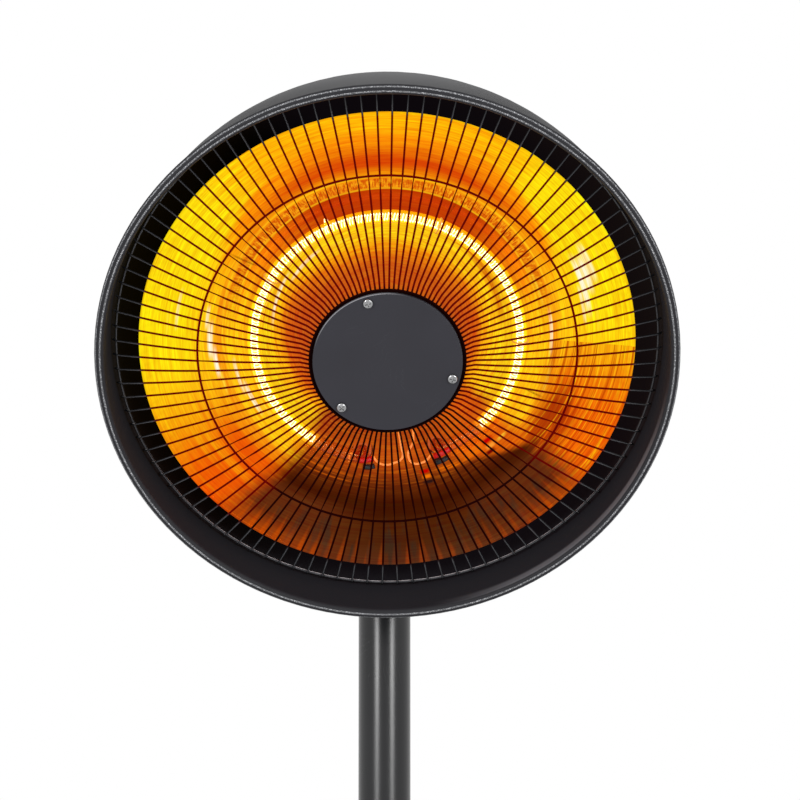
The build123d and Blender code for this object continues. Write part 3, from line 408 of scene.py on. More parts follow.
poleCoat = {
    "roughness": 0.25, "specular": 0.48, "grain": 1100, "patches": 7, "dust": 0.05, "rubScale": 24,
    "rubs": 0.15, "dark": (0.0018, 0.0018, 0.0027, 1), "light": (0.0036, 0.004, 0.0054, 1), "bump": 0.00002,
}
mattCoat = dict(poleCoat, specular=0.34, dark=(0.004, 0.004, 0.0045, 1), light=(0.007, 0.007, 0.008, 1))
coats = {
    "poleBlack": poleCoat,
    "baseBlack": dict(mattCoat, dust=0.18, rubs=0.3, grain=800, bump=0.00008, roughness=0.48),
    "housingBlack": dict(mattCoat, dust=0.16, rubs=0.2, grain=900, bump=0.00006, roughness=0.45),
    "castBlack": dict(mattCoat, dust=0.2, rubs=0.4, grain=420, patches=16, bump=0.00022, roughness=0.5),
}
for name, coat in coats.items():
    blackCoat(name, coat)

# Places on the head are in mm and degrees. Of three numbers that set a band, the first is its middle, the
# second half its width and the third its soft edge. Of two, the first is where a fade starts.

# The shade's coat is coarser. Its bead gets two lines of painted highlight, and it is matt inside, where it
# is painted darker as painted shade, deepest far in.
shadeCoat = dict(
    poleCoat, dust=0.1, rubs=0.1, grain=950, patches=5, roughness=0.56, specular=0.12, bump=0.00003,
    dark=(0.033, 0.033, 0.0355, 1), light=(0.045, 0.045, 0.048, 1),
)
shadeBead = {
    "radius": 226, "depth": 4, "end": (8.5, 7), "coat": (0.021, 0.021, 0.024, 1), "lines": (42, 98),
    "lineWidth": 5, "lineSoft": 8, "lineShare": 0.9, "between": 0.12, "speckNoise": (1500, 2, 0.7),
    "specks": (0.50, 0.66), "speckShare": 0.8, "speckColour": (0.74, 0.75, 0.78, 1),
}
shadeTop = {
    "facesUp": (0.80, 1), "behindBead": (9, 16), "sheen": (0.10, 0.10, 0.104, 1),
    "crease": (0.014, 0.014, 0.016, 1), "creaseStart": (7.5, 9.5), "creaseEnd": (28, 22),
    "creaseTurn": (90, 60, 40),
}
shadeInside = {
    "domeRadius": 223, "domeLength": 260, "wall": (0.35, 0.75), "crown": (205, 214),
    "crownFront": (0.1, -0.1), "coat": (0.018, 0.0173, 0.021, 1), "streak": (0.15, 0.15, 0.165, 1),
    "streakTurn": (318, 14, 26), "streakDepth": (5, 1.5, 4.5), "streakShare": 0.8,
    "soot": (0.0013, 0.0016, 0.0024, 1), "sootDepth": (12, 72), "sootGlow": tint(19, 16, 19),
    "litTurn": (187, 48, 30), "sootRoughness": 0.5,
}


def insideShade(tree, polar, inside):
    # the inner wall is inside the dome's own outline, whose radius falls with depth
    deep = calc("POWER", polar["Depth"] / inside["domeLength"], 2)
    domeRadius = calc("SQRT", calc("SUBTRACT", 1, deep, clamp=True)) * inside["domeRadius"]
    within = fade(domeRadius - polar["Radius"], *inside["wall"])
    # the flat crown lies inside that outline too, so there the outside is what faces back
    crownBack = fade(polar["Depth"], *inside["crown"]) * fade(forward(tree), *inside["crownFront"])
    return within * (1 - crownBack)


# painted highlights: two speckled light lines round the bead
def paintedBeadHighlight(tree, polar, bead):
    turned = degreesOf(polar["Depth"] - bead["depth"], polar["Radius"] - bead["radius"])
    roundBead = calc("FLOORED_MODULO", turned * -1, 360)
    specks = fade(grainNoise(objectPlace(tree), *bead["speckNoise"]), *bead["specks"])
    first, second = (band(roundBead, centre, bead["lineWidth"], bead["lineSoft"]) for centre in bead["lines"])
    nearBead = fade(polar["Depth"], *bead["end"])
    speckled = specks * bead["speckShare"] + bead["between"]
    return calc("MAXIMUM", first, second) * nearBead * speckled * bead["lineShare"], nearBead


def shadePaint(coat, bead, top, inside):
    tree, shader, paint, rough = blackCoat("shadeBlack", coat)
    polar = useGroup(tree, polarGroup)
    depth, degrees = polar["Depth"], polar["Degrees"]
    # painted sheen: the dome's upward faces behind the bead are painted lighter, as where light from above
    # falls
    paintedTopSheen = fade(upward(tree), *top["facesUp"]) * fade(depth, *top["behindBead"])
    paint = mix(paintedTopSheen, paint, top["sheen"])
    # painted shadow: a dark band on the dome just behind the bead, over the top
    crease = fade(depth, *top["creaseStart"]) * fade(depth, *top["creaseEnd"])
    paint = mix(crease * band(degrees, *top["creaseTurn"]), paint, top["crease"])
    beadHighlight, nearBead = paintedBeadHighlight(tree, polar, bead)
    # the bead is painted darker than the dome, as painted shade
    paint = mix(nearBead, paint, bead["coat"])
    within = insideShade(tree, polar, inside)
    # painted highlight: a pale streak on the inner wall near the bead, low on the right
    streak = band(degrees, *inside["streakTurn"]) * band(depth, *inside["streakDepth"])
    # the inner wall is painted darker than the outside, as painted shade
    wall = mix(streak * inside["streakShare"], inside["coat"], inside["streak"])
    # painted shade: deep inside, the wall is painted near black, and a faint painted glow stands for light
    # bounced in there, except on the left
    deep = within * fade(depth, *inside["sootDepth"])
    paint = mix(deep, mix(within, paint, wall), inside["soot"])
    unlit = deep * (1 - band(degrees, *inside["litTurn"]))
    feed(
        shader, Base_Color=mix(beadHighlight, paint, bead["speckColour"]), Emission_Strength=1,
        Emission_Color=mix(unlit, (0, 0, 0, 1), inside["sootGlow"]),
        Roughness=calc("ADD", rough, deep * inside["sootRoughness"], clamp=True),
    )


shadePaint(shadeCoat, shadeBead, shadeTop, shadeInside)

# welded wire: grey where it crosses the dark gap; where it crosses the reflector it is painted near black as
# painted shade, with a painted red glow of the lamp's light
guardCoat = {
    "roughness": 0.5, "specular": 0.01, "grain": 2600, "patches": 40, "bump": 0.00003,
    "front": (0.075, 0.075, 0.081, 1), "sides": (0.012, 0.012, 0.014, 1), "frontFrom": (0.7, 0.97),
    "ring": (215, 1.2, 0.3), "ringTurn": (270, 62, 30), "ringUp": (0.2, 0.6),
    "ringShine": (0.5, 0.48, 0.5, 1), "worn": (0.09, 0.08, 0.08, 1), "wornPatches": (0.5, 0.7),
    "wornShare": 0.25, "bowl": (199, 193), "disc": (61, 67), "overBowl": (0.006, 0.0006, 0.0006, 1),
    "glow": tint(97, 0, 0), "darkTurn": (276.5, 41, 6), "darkShare": 0.93,
}


def guardPaint(coat):
    tree, shader = newFinish("guardBlack", coat["roughness"], specular=coat["specular"])
    polar = useGroup(tree, polarGroup)
    radius, degrees = polar["Radius"], polar["Degrees"]
    grain = useGroup(tree, grainGroup, Grain_Scale=coat["grain"], Patch_Scale=coat["patches"])
    # painted light and shade: over the gap only the front of a wire is painted light and its sides dark, and
    # the ring's upper side low in the head gets a painted highlight
    outer = mix(fade(forward(tree), *coat["frontFrom"]), coat["sides"], coat["front"])
    shine = band(radius, *coat["ring"]) * fade(upward(tree), *coat["ringUp"])
    outer = mix(shine * band(degrees, *coat["ringTurn"]), outer, coat["ringShine"])
    overBowl = fade(radius, *coat["bowl"])
    shadedOverBowl = mix(overBowl, outer, coat["overBowl"])
    worn = mix(fade(grain["Patches"], *coat["wornPatches"]) * coat["wornShare"], shadedOverBowl, coat["worn"])
    overDark = band(degrees, *coat["darkTurn"]) * coat["darkShare"]
    lit = overBowl * fade(radius, *coat["disc"]) * (1 - overDark)
    feed(
        shader, Base_Color=mix(overBowl, worn, coat["overBowl"]), Emission_Strength=1,
        Emission_Color=mix(lit, (0, 0, 0, 1), coat["glow"]),
    )
    bumped(shader, grain["Height"], coat["bump"])


guardPaint(guardCoat)

discCoat = dict(
    poleCoat, roughness=0.55, specular=0.3, grain=1500, patches=11, dust=0, rubs=0.08, bump=0.00003,
    dark=(0.0193, 0.0188, 0.0245, 1), light=(0.0238, 0.0232, 0.0305, 1),
)
discEdge = {
    "ring": (58.7, 0.1, 0.35), "turn": (122, 20, 30), "bright": (0.26, 0.26, 0.28, 1), "side": (58.8, 59),
    "sideDepth": (2.8, 3.6), "under": (0.004, 0.001, 0.001, 1),
}


def discPaint(coat, edge):
    tree, shader, paint = blackCoat("discGrey", coat)[:3]
    polar = useGroup(tree, polarGroup)
    # painted highlight: a pale arc along the disc's rim, high on the left
    rubbed = band(polar["Radius"], *edge["ring"]) * band(polar["Degrees"], *edge["turn"])
    # the back of its turned-down side gets painted shade, near black
    side = fade(polar["Radius"], *edge["side"]) * fade(polar["Depth"], *edge["sideDepth"])
    feed(shader, Base_Color=mix(side, mix(rubbed, paint, edge["bright"]), edge["under"]))


discPaint(discCoat, discEdge)
print("coats made")


# bare metal finishes

metalLook = {
    "streaks": (4, 0.65), "streakShare": 0.6, "cloudScale": 0.12, "cloudDetail": 3, "cloudShare": 0.4,
    "rubScale": 40, "rubs": 0.5, "uneven": (0.3, 0.7), "smoother": 0.08, "rougher": 0.1,
}


def bareMetal(name, metal, look=metalLook):
    tree, shader = newFinish(name, metal["roughness"], 1)
    place = objectPlace(tree)
    drawn = addNode(tree, "Mapping", Vector=place, Scale=metal["drawn"])
    streaks = grainNoise(drawn, metal["scale"], *look["streaks"])
    clouds = grainNoise(place, metal["scale"] * look["cloudScale"], look["cloudDetail"])
    rubs = useGroup(tree, rubGroup, Scale=look["rubScale"], Amount=look["rubs"])
    tone = toneOf(streaks * look["streakShare"] + clouds * look["cloudShare"], metal)
    least, most = metal["roughness"] - look["smoother"], metal["roughness"] + look["rougher"]
    rough = rescale(streaks, *look["uneven"], least, most)
    feed(shader, Base_Color=mix(rubs, tone, metal["dark"]), Roughness=rough)
    bumped(shader, streaks, metal["bump"])


brightScrew = {
    "roughness": 0.22, "drawn": (1, 1, 1), "scale": 700, "bump": 0.00004, "dark": (0.24, 0.24, 0.245, 1),
    "light": (0.46, 0.46, 0.465, 1),
}
metals = {
    "brightSteel": {},
    "zincSteel": {
        "roughness": 0.38, "scale": 260, "dark": (0.36, 0.37, 0.38, 1), "light": (0.55, 0.56, 0.57, 1),
    },
    "aluminisedSheet": {
        "roughness": 0.5, "drawn": (1, 6, 6), "scale": 90, "dark": (0.40, 0.40, 0.40, 1),
        "light": (0.52, 0.52, 0.51, 1),
    },
    "springSteel": {
        "roughness": 0.35, "scale": 900, "dark": (0.25, 0.22, 0.2, 1), "light": (0.45, 0.42, 0.4, 1),
    },
    "brassInsert": {"roughness": 0.28, "dark": (0.55, 0.38, 0.12, 1), "light": (0.78, 0.58, 0.24, 1)},
    "blackScrews": {
        "roughness": 0.4, "scale": 500, "dark": (0.02, 0.02, 0.022, 1), "light": (0.05, 0.05, 0.055, 1),
    },
}
for name, own in metals.items():
    bareMetal(name, {**brightScrew, **own})


# ceramic, rubber, plastic and cast iron

mouldedLook = {
    "cloudScale": 0.06, "cloudDetail": 4, "dust": (0.35, 0.34, 0.32, 1), "uneven": 0.12, "smoother": 0.06,
    "fineScale": 0.5,
}


def moulded(name, body, look=mouldedLook):
    tree, shader = newFinish(name, body["roughness"], specular=body["specular"])
    place = objectPlace(tree)
    clouds = grainNoise(place, body["scale"] * look["cloudScale"], look["cloudDetail"])
    dust = useGroup(tree, dustGroup, Amount=body["dust"])
    rough = clouds * look["uneven"] + (body["roughness"] - look["smoother"])
    feed(shader, Base_Color=mix(dust, toneOf(clouds, body), look["dust"]), Roughness=rough)
    fine = grainNoise(place, body["scale"] * look["fineScale"])
    bumped(shader, pebbles(place, body["scale"]) * body["pebbled"] + fine, body["bump"])


ceramicBody = {
    "roughness": 0.6, "specular": 0.4, "scale": 1300, "dust": 0, "pebbled": 0.4, "bump": 0.00005,
    "dark": (0.60, 0.56, 0.50, 1), "light": (0.72, 0.69, 0.63, 1),
}
blackNylon = {
    "roughness": 0.5, "specular": 0.4, "scale": 1500, "dust": 0.12, "pebbled": 1, "bump": 0.00007,
    "dark": (0.012, 0.012, 0.013, 1), "light": (0.02, 0.02, 0.021, 1),
}
blackFoot = {
    "roughness": 0.85, "specular": 0.2, "dust": 0.25, "dark": (0.01, 0.01, 0.01, 1),
    "light": (0.018, 0.018, 0.018, 1),
}
roughCasting = {
    "roughness": 0.75, "scale": 380, "bump": 0.0005, "dark": (0.05, 0.05, 0.052, 1),
    "light": (0.1, 0.098, 0.095, 1),
}
moulded("ceramic", ceramicBody)
moulded("blackPlastic", blackNylon)
moulded("blackRubber", {**blackNylon, **blackFoot})
moulded("castIron", {**blackNylon, **roughCasting})

sleeveRubber = {
    "roughness": 0.45, "dark": tint(120, 8, 6), "light": tint(190, 20, 12), "mottle": (420, 3),
    "stops": (0.35, 0.65), "bump": 0.0001, "glow": tint(150, 6, 3), "strength": 0.9,
    "shaded": tint(186, 80, 22), "shadedPaint": (0.02, 0.01, 0.008, 1), "shadedRadius": (110.5, 107),
    "shadedDepth": (45, 52), "shadedShare": 0.7,
}


def redSleeve(rubber):
    tree, shader = newFinish("redSilicone", rubber["roughness"])
    mottled = grainNoise(objectPlace(tree), *rubber["mottle"])
    polar = useGroup(tree, polarGroup)
    # painted light: the sleeve has a painted red glow of the lamp's light; towards the axis, and down in its
    # hole, it is painted dark and only mirrors the bowl's dim glow, as a painted reflection
    shaded = fade(polar["Radius"], *rubber["shadedRadius"]) * fade(polar["Depth"], *rubber["shadedDepth"])
    red = toneOf(mottled, rubber, *rubber["stops"])
    paint = mix(shaded * rubber["shadedShare"], red, rubber["shadedPaint"])
    glow = mix(shaded, rubber["glow"], rubber["shaded"])
    feed(shader, Base_Color=paint, Emission_Color=glow, Emission_Strength=rubber["strength"])
    bumped(shader, mottled, rubber["bump"])


redSleeve(sleeveRubber)
print("metal, ceramic, rubber and plastic made")


# reflector: spun sheet in the lamp's own light; its colour and glow are painted light and painted reflections

# lines that spinning left; "fine", "coarse" and "tight" hold their scale, detail and roughness
bowlLines = {
    "fine": (0.75, 3, 0.7), "fineTurn": 0.09, "fineShare": 0.65, "coarse": (0.8, 4, 0.65),
    "coarseOut": 0.28, "coarseTurn": 0.05, "coarseShare": 0.35, "wander": 26, "from": (0.36, 0.62),
    "darker": 0.24, "redPower": 0.35, "greenPower": 1.6, "lighter": 0.216, "tight": (1.7, 2, 0.6),
    "tightTurn": 0.05, "tightRadius": (122, 84), "tightDepth": 1.5, "bump": 0.00012,
}

# painted light: colours from the axis outwards for three parts of the bowl
bowlGlow = {
    "side": [
        (56, tint(196, 84, 28)), (66, tint(204, 88, 26)), (72, tint(218, 100, 24)),
        (78, tint(246, 160, 22)), (84, tint(252, 190, 26)), (92, tint(254, 200, 28)),
        (98, tint(252, 198, 28)), (112, tint(250, 178, 24)), (126, tint(252, 192, 24)),
        (134, tint(244, 152, 24)), (141, tint(252, 194, 24)), (155, tint(250, 182, 24)),
        (168, tint(252, 200, 22)), (197, tint(250, 197, 20)),
    ],
    "top": [
        (56, tint(206, 92, 26)), (66, tint(232, 118, 22)), (73, tint(250, 154, 20)),
        (80, tint(254, 194, 26)), (91, tint(252, 198, 28)), (97, tint(240, 130, 20)),
        (99, tint(238, 124, 20)), (197, tint(252, 176, 14)),
    ],
    "bottom": [
        (56, tint(150, 66, 30)), (80, tint(160, 70, 28)), (94, tint(170, 72, 24)), (110, tint(192, 84, 24)),
        (118, tint(160, 66, 20)), (125, tint(128, 54, 18)), (131, tint(98, 42, 16)), (146, tint(66, 27, 8)),
        (156, tint(66, 28, 10)), (165, tint(78, 37, 15)), (180, tint(76, 38, 18)), (197, tint(90, 48, 28)),
    ],
    "reach": 200, "leftTurn": (200, 20, 62), "leftRadius": (104, 92), "leftReach": 9,
    "topTurn": (90, 30, 55), "lemon": tint(247, 213, 20),
    "lemonTurns": ((160, 18, 20), (30, 16, 20)),
    "lemonRadius": (140, 164), "metalShare": 0.14, "roughness": 0.3, "strength": 0.944,
    "brokenLines": (0.38, 0.58), "broken": (0.35, 1), "markCore": 0.3,
}

# painted reflections: orange towards the dark part of the bowl, and slanting streaks low on the right
bowlOrange = {
    "right": ((322, 18, 34), tint(234, 94, 14)), "rightDeep": ((324, 10, 16), tint(168, 58, 12)),
    "left": ((231, 9, 36), tint(230, 86, 12)), "radius": (126, 146), "streaks": (0.26, 0.5),
    "deepRing": (149, 8, 12), "deepStreaks": (0.66, 0.5), "leftPlain": 0.65, "slant": 0.2,
    "slantTurn": 0.03, "slantLines": (0.5, 3, 0.7), "slantPart": (343, 15, 14), "slantRadius": (126, 136),
    "slantTones": (((0.5, 0.38), 0.75, tint(176, 58, 8)), ((0.54, 0.66), 0.7, tint(252, 186, 26))),
}

# the coil's own reflection, painted as a ring a little up the bowl from its axis
coilRing = {
    "lift": 8.5, "radius": 125.5, "halfWidth": 3.2, "soft": 1.4, "turn": (90, 52, 40), "share": 0.9,
    "low": tint(204, 78, 14), "high": tint(248, 158, 28), "turns": (1.5, 0.16), "turnNoise": (1, 3, 0.7),
    "patches": (0.43, 0.6), "outline": tint(252, 190, 30), "outlines": (-4.8, 5.8), "outlineHalf": 0.4,
    "outlineSoft": 0.8, "outlineShare": 0.6,
}

# a painted dark sickle between the lamp and that ring, and a painted orange one outside it, both widest at
# the top
innerSickle = {
    "colour": tint(190, 60, 8), "edge": tint(236, 116, 14), "inner": (101, 104), "outer": (123, 120),
    "turn": (88, 48, 34), "darkTurn": (88, 26, 30),
}
outerSickle = {
    "colour": tint(214, 74, 12), "edge": tint(248, 140, 14), "lift": 50, "wander": 0.3,
    "inner": (130.5, 143.5), "outer": (134, 124), "darkRadius": (125, 105),
}

# painted shade: the dark part low in the bowl, below the lamp's gap, with dim painted reflections in it
bowlDark = {
    "leftSlope": (130, 197, 234, 227), "leftSoft": (-5, 5), "rightEdge": (328.5, 318.5), "wander": 0.2,
    "gap": tint(222, 96, 22), "gapTurn": (264, 20, 30), "gapRadius": (132, 116), "gapShare": 0.85,
    "groove": tint(206, 92, 18), "grooveLines": (0.48, 0.64), "grooveRadius": (140, 122),
    "grooveShare": 0.4, "column": tint(196, 84, 16), "columnTurn": 0.3, "columnOut": 0.02,
    "columnNoise": (1, 3, 0.6), "columnLines": (0.5, 0.72), "columnRadius": (122, 100), "columnShare": 0.6,
    "flank": tint(98, 46, 22), "flankTurn": (277, 8, 22), "flankRadius": (142, 160), "flankShare": 0.85,
    "smoke": tint(52, 44, 34), "smokeLines": (0.5, 0.35), "smokeRadius": (150, 175), "smokeShare": 0.6,
    "corner": tint(224, 100, 18), "cornerTurn": (295, 301), "cornerRadius": (108, 116),
    "cornerSlope": (297, 322, 120, 145), "cornerSoft": (4, -4), "cornerLines": 0.8, "cornerPlain": 0.5,
    "rim": tint(196, 78, 10), "rimRadius": (174, 197), "rimTurn": (279, 18, 28), "rimShare": 0.6,
    "flame": tint(216, 84, 6), "flameRadius": (166, 198), "flameWidth": (162, 198, 0.05, 0.5),
    "flameStart": (-0.05, 0.05), "flameEnd": (0, -0.22), "flameLines": (0.4, 0.6), "flameLick": 0.35,
    "flamePlain": 0.18, "flameTurn": (279, 10, 30), "flameDim": 0.5, "wires": 108, "firstWire": 89.2,
    "middle": 279,
}

# painted reflections: flashes, bits of wire and end caps that the bowl mirrors: degrees, mm from the
# axis, half length in degrees, half width in mm, strength and colour
pale, gold, amber = tint(255, 250, 225), tint(255, 218, 60), tint(236, 112, 14)
red, darkBit, brownLine = tint(190, 12, 4), tint(46, 26, 24), tint(96, 40, 6)
bowlFlashes = [
    (18, 162, 11, 2.4, 1, pale), (21, 167, 7, 2.8, 0.9, pale), (24, 172, 7, 3, 0.7, pale),
    (24, 182, 5, 1.2, 0.35, gold), (12, 158, 7, 1.4, 0.8, pale), (8, 168, 6, 1.4, 0.5, gold),
    (195, 136, 7, 1.6, 0.8, gold), (188, 138, 7, 1.8, 1, pale), (180, 141, 8, 2.2, 1, pale),
    (172, 144, 5, 1.4, 0.6, pale), (170, 168, 7, 1.2, 0.5, pale), (174, 175, 5, 1.4, 0.4, gold),
    (206, 121, 9, 1.5, 0.9, pale), (196, 124, 9, 1.4, 0.7, pale), (213, 117, 7, 1.2, 0.6, gold),
    (3, 131, 10, 1.3, 0.7, pale), (20, 127, 9, 1.1, 0.5, gold), (163, 92, 18, 1.3, 0.8, pale),
    (140, 87, 14, 1.4, 0.8, pale), (116, 84, 10, 1.3, 0.6, gold), (345, 133, 9, 1.2, 0.7, gold),
    (52, 94.5, 24, 2.4, 0.9, tint(214, 88, 16)), (24, 92, 26, 3, 0.9, tint(206, 78, 14)),
    (150, 95.5, 16, 1.4, 0.6, tint(226, 112, 16)), (304, 124.5, 7, 1.6, 0.9, amber),
    (294, 125, 6, 2.4, 0.8, amber), (317, 127, 3, 1.3, 0.8, gold),
    (218, 165, 14, 4, 0.6, tint(252, 170, 20)), (149, 131, 0.5, 14, 0.7, brownLine),
    (65.5, 121, 0.5, 11, 0.6, brownLine), (338, 126, 0.6, 9, 0.7, brownLine),
    (248, 125.5, 16, 0.7, 0.7, tint(206, 92, 14)), (248, 130.5, 14, 0.6, 0.6, tint(206, 92, 14)),
    (233, 122, 3, 5, 0.6, tint(214, 96, 10)),
]
bowlBits = [
    (262, 117.5, 2.2, 2.4, 1, darkBit), (290.5, 117.5, 2.2, 2.4, 1, darkBit),
    (284.7, 123, 2.6, 1.9, 1, red), (285, 127, 2.4, 1.7, 1, amber), (285.2, 131.6, 2.8, 1.9, 1, darkBit),
    (312, 122, 3.2, 2.2, 1, red), (311.6, 126.8, 2.6, 1.9, 1, tint(246, 150, 50)),
    (310.2, 130.4, 2.8, 1.8, 1, tint(110, 12, 6)),
]


def bowlPlace(tree, lines):  # where a point of the bowl lies, and the spinning lines there
    polar = useGroup(tree, polarGroup)
    radius, degrees = polar["Radius"], polar["Degrees"]
    fine = grainNoise(vector(radius, degrees * lines["fineTurn"]), *lines["fine"])
    coarse = grainNoise(vector(radius * lines["coarseOut"], degrees * lines["coarseTurn"]), *lines["coarse"])
    wander = (coarse - 0.5) * lines["wander"]  # the zones' edges wander a little along the rings
    return {
        "polar": polar, "radius": radius, "degrees": degrees, "fine": fine, "coarse": coarse,
        "wander": wander, "bent": degrees + wander,
    }


def zoneColours(place, glow):
    # the dark middle reaches further out on the left
    leftward = band(place["degrees"], *glow["leftTurn"]) * fade(place["radius"], *glow["leftRadius"])
    share = (place["radius"] - leftward * glow["leftReach"]) / glow["reach"]
    side, top, bottom = (
        ramp(share, [(mm / glow["reach"], colour) for mm, colour in glow[part]])
        for part in ("side", "top", "bottom")
    )
    base = mix(band(place["bent"], *glow["topTurn"]), side, top)
    for turn in glow["lemonTurns"]:
        lemon = band(place["bent"], *turn) * fade(place["radius"], *glow["lemonRadius"])
        base = mix(lemon, base, glow["lemon"])
    return base, bottom


def addOrange(place, base, low):
    radius, degrees, coarse = place["radius"], place["degrees"], place["coarse"]
    outward = fade(radius, *low["radius"])
    streaky = fade(coarse, *low["streaks"])
    deep = fade(coarse, *low["deepStreaks"]) * band(radius, *low["deepRing"])
    leftStreaks = streaky * (1 - low["leftPlain"]) + low["leftPlain"]
    for name, strength in (("right", streaky), ("rightDeep", deep), ("left", leftStreaks)):
        turn, colour = low[name]
        base = mix(band(place["bent"], *turn) * outward * strength, base, colour)
    slanted = vector(radius - degrees * low["slant"], degrees * low["slantTurn"])
    lines = grainNoise(slanted, *low["slantLines"])
    lowRight = band(degrees, *low["slantPart"]) * fade(radius, *low["slantRadius"])
    for limits, strength, colour in low["slantTones"]:
        base = mix(lowRight * fade(lines, *limits) * strength, base, colour)
    return base


def addMirroredLamp(place, base, ring, inner, outer):
    polar, bent = place["polar"], place["bent"]
    acrossSquared = polar["Across"] * polar["Across"]

    def raised(lift):  # distance from a line that far up the bowl from its axis
        height = polar["Up"] - lift
        return calc("SQRT", height * height + acrossSquared)

    ringRadius = raised(ring["lift"])
    sickleRadius = raised(outer["lift"]) + place["wander"] * outer["wander"]
    tone = mix(fade(sickleRadius, *outer["darkRadius"]), outer["edge"], outer["colour"])
    base = mix(fade(ringRadius, *outer["inner"]) * fade(sickleRadius, *outer["outer"]), base, tone)
    tone = mix(band(bent, *inner["darkTurn"]), inner["edge"], inner["colour"])
    between = fade(place["radius"], *inner["inner"]) * fade(ringRadius, *inner["outer"])
    base = mix(between * band(bent, *inner["turn"]), base, tone)
    around, outward = ring["turns"]
    turns = grainNoise(vector(place["degrees"] * around, ringRadius * outward), *ring["turnNoise"])
    tone = mix(fade(turns, *ring["patches"]), ring["low"], ring["high"])
    onRing = band(ringRadius, ring["radius"], ring["halfWidth"], ring["soft"])
    base = mix(onRing * band(bent, *ring["turn"]) * ring["share"], base, tone)
    for away in ring["outlines"]:  # thin bright edges of the tube in that reflection
        line = band(ringRadius, ring["radius"] + away, ring["outlineHalf"], ring["outlineSoft"])
        base = mix(line * ring["outlineShare"], base, ring["outline"])
    return base


# painted light: a tongue of light on the outer side of each wire
def wireFlames(place, columns, dark):  # a flame on the outer side of each wire
    radius, degrees = place["radius"], place["degrees"]
    step = 360 / dark["wires"]
    stripe = calc("FRACT", (degrees - (dark["firstWire"] - step / 2)) / step)
    fromWire = (stripe - 0.5) * calc("SIGN", degrees - dark["middle"])
    width = rescale(radius, *dark["flameWidth"])
    licks = fade(columns, *dark["flameLines"]) * dark["flameLick"] + dark["flamePlain"]
    return (
        fade(fromWire, *dark["flameStart"]) * fade(fromWire - width, *dark["flameEnd"])
        * fade(radius, *dark["flameRadius"]) * licks
        * (1 - band(degrees, *dark["flameTurn"]) * dark["flameDim"])
    )


def addDarkPart(place, base, tone, dark):
    radius, degrees, fine = place["radius"], place["degrees"], place["fine"]
    beside = fade(band(degrees, *dark["gapTurn"]), 1, 0) * fade(radius, *dark["gapRadius"])
    tone = mix(beside * dark["gapShare"], tone, dark["gap"])
    grooves = fade(fine, *dark["grooveLines"]) * fade(radius, *dark["grooveRadius"])
    tone = mix(grooves * dark["grooveShare"], tone, dark["groove"])
    columns = vector(degrees * dark["columnTurn"], radius * dark["columnOut"])
    columns = grainNoise(columns, *dark["columnNoise"])
    lit = fade(columns, *dark["columnLines"]) * fade(radius, *dark["columnRadius"])
    tone = mix(lit * dark["columnShare"], tone, dark["column"])
    flank = (1 - band(degrees, *dark["flankTurn"])) * fade(radius, *dark["flankRadius"])
    tone = mix(flank * dark["flankShare"], tone, dark["flank"])
    smoke = fade(columns, *dark["smokeLines"]) * fade(radius, *dark["smokeRadius"])
    tone = mix(smoke * dark["smokeShare"], tone, dark["smoke"])
    # the corner by the lamp's right end keeps its painted orange light
    corner = fade(degrees, *dark["cornerTurn"]) * fade(radius, *dark["cornerRadius"])
    corner = corner * fade(radius - rescale(degrees, *dark["cornerSlope"]), *dark["cornerSoft"])
    grooved = calc("ADD", fine * dark["cornerLines"], dark["cornerPlain"], clamp=True)
    tone = mix(corner * grooved, tone, dark["corner"])
    rim = fade(radius, *dark["rimRadius"]) * (1 - band(degrees, *dark["rimTurn"]))
    tone = mix(rim * dark["rimShare"], tone, dark["rim"])
    tone = mix(wireFlames(place, columns, dark), tone, dark["flame"])
    wobble = degrees + place["wander"] * dark["wander"]
    inDark = fade(wobble - rescale(radius, *dark["leftSlope"]), *dark["leftSoft"])
    return mix(inDark * fade(wobble, *dark["rightEdge"]), base, tone)


def dyed(base, red, green, blue):  # each part of a colour times a factor
    factors = addNode(base.tree, "CombineColor", Red=red, Green=green, Blue=blue)
    return mix(1, base, factors, "MULTIPLY")


def addLines(place, base, lines):
    # finer rings close to the disc
    tight = grainNoise(vector(place["radius"], place["degrees"] * lines["tightTurn"]), *lines["tight"])
    level = fade(place["radius"], *lines["tightRadius"]) * (tight - 0.5) * lines["tightDepth"] + 1
    base = dyed(base, 1, level, 1)
    height = place["fine"] * lines["fineShare"] + place["coarse"] * lines["coarseShare"]
    level = rescale(height, *lines["from"], 1 - lines["darker"], 1 + lines["lighter"])
    red, green = (calc("POWER", level, lines[part]) for part in ("redPower", "greenPower"))
    return dyed(base, red, green, level), height


def addMarks(place, base, marks, whole, core):
    for turn, away, long, wide, strength, colour in marks:
        fromTurn = calc("ABSOLUTE", place["degrees"] - turn)
        shortWay = 180 - calc("ABSOLUTE", fromTurn - 180)
        spot = fade(shortWay, long, long * core) * band(place["radius"], away, wide * core, wide)
        base = mix(spot * whole * strength, base, colour)
    return base


def reflectorMetal(glow, lines):
    tree, shader = newFinish("reflectorGold", glow["roughness"], 1)
    place = bowlPlace(tree, lines)
    base, bottom = zoneColours(place, glow)
    base = addOrange(place, base, bowlOrange)
    base = addMirroredLamp(place, base, coilRing, innerSickle, outerSickle)
    base = addDarkPart(place, base, bottom, bowlDark)
    base, height = addLines(place, base, lines)
    broken = rescale(place["fine"], *glow["brokenLines"], *glow["broken"])
    base = addMarks(place, base, bowlFlashes, broken, glow["markCore"])
    base = addMarks(place, base, bowlBits, 1, glow["markCore"])
    metal = mix(1, base, (glow["metalShare"],) * 3 + (1,), "MULTIPLY")
    feed(shader, Base_Color=metal, Emission_Color=base, Emission_Strength=glow["strength"])
    bumped(shader, height, lines["bump"])


reflectorMetal(bowlGlow, bowlLines)
print("reflector finish made")


# lamp: quartz tube, wound coil and its leads

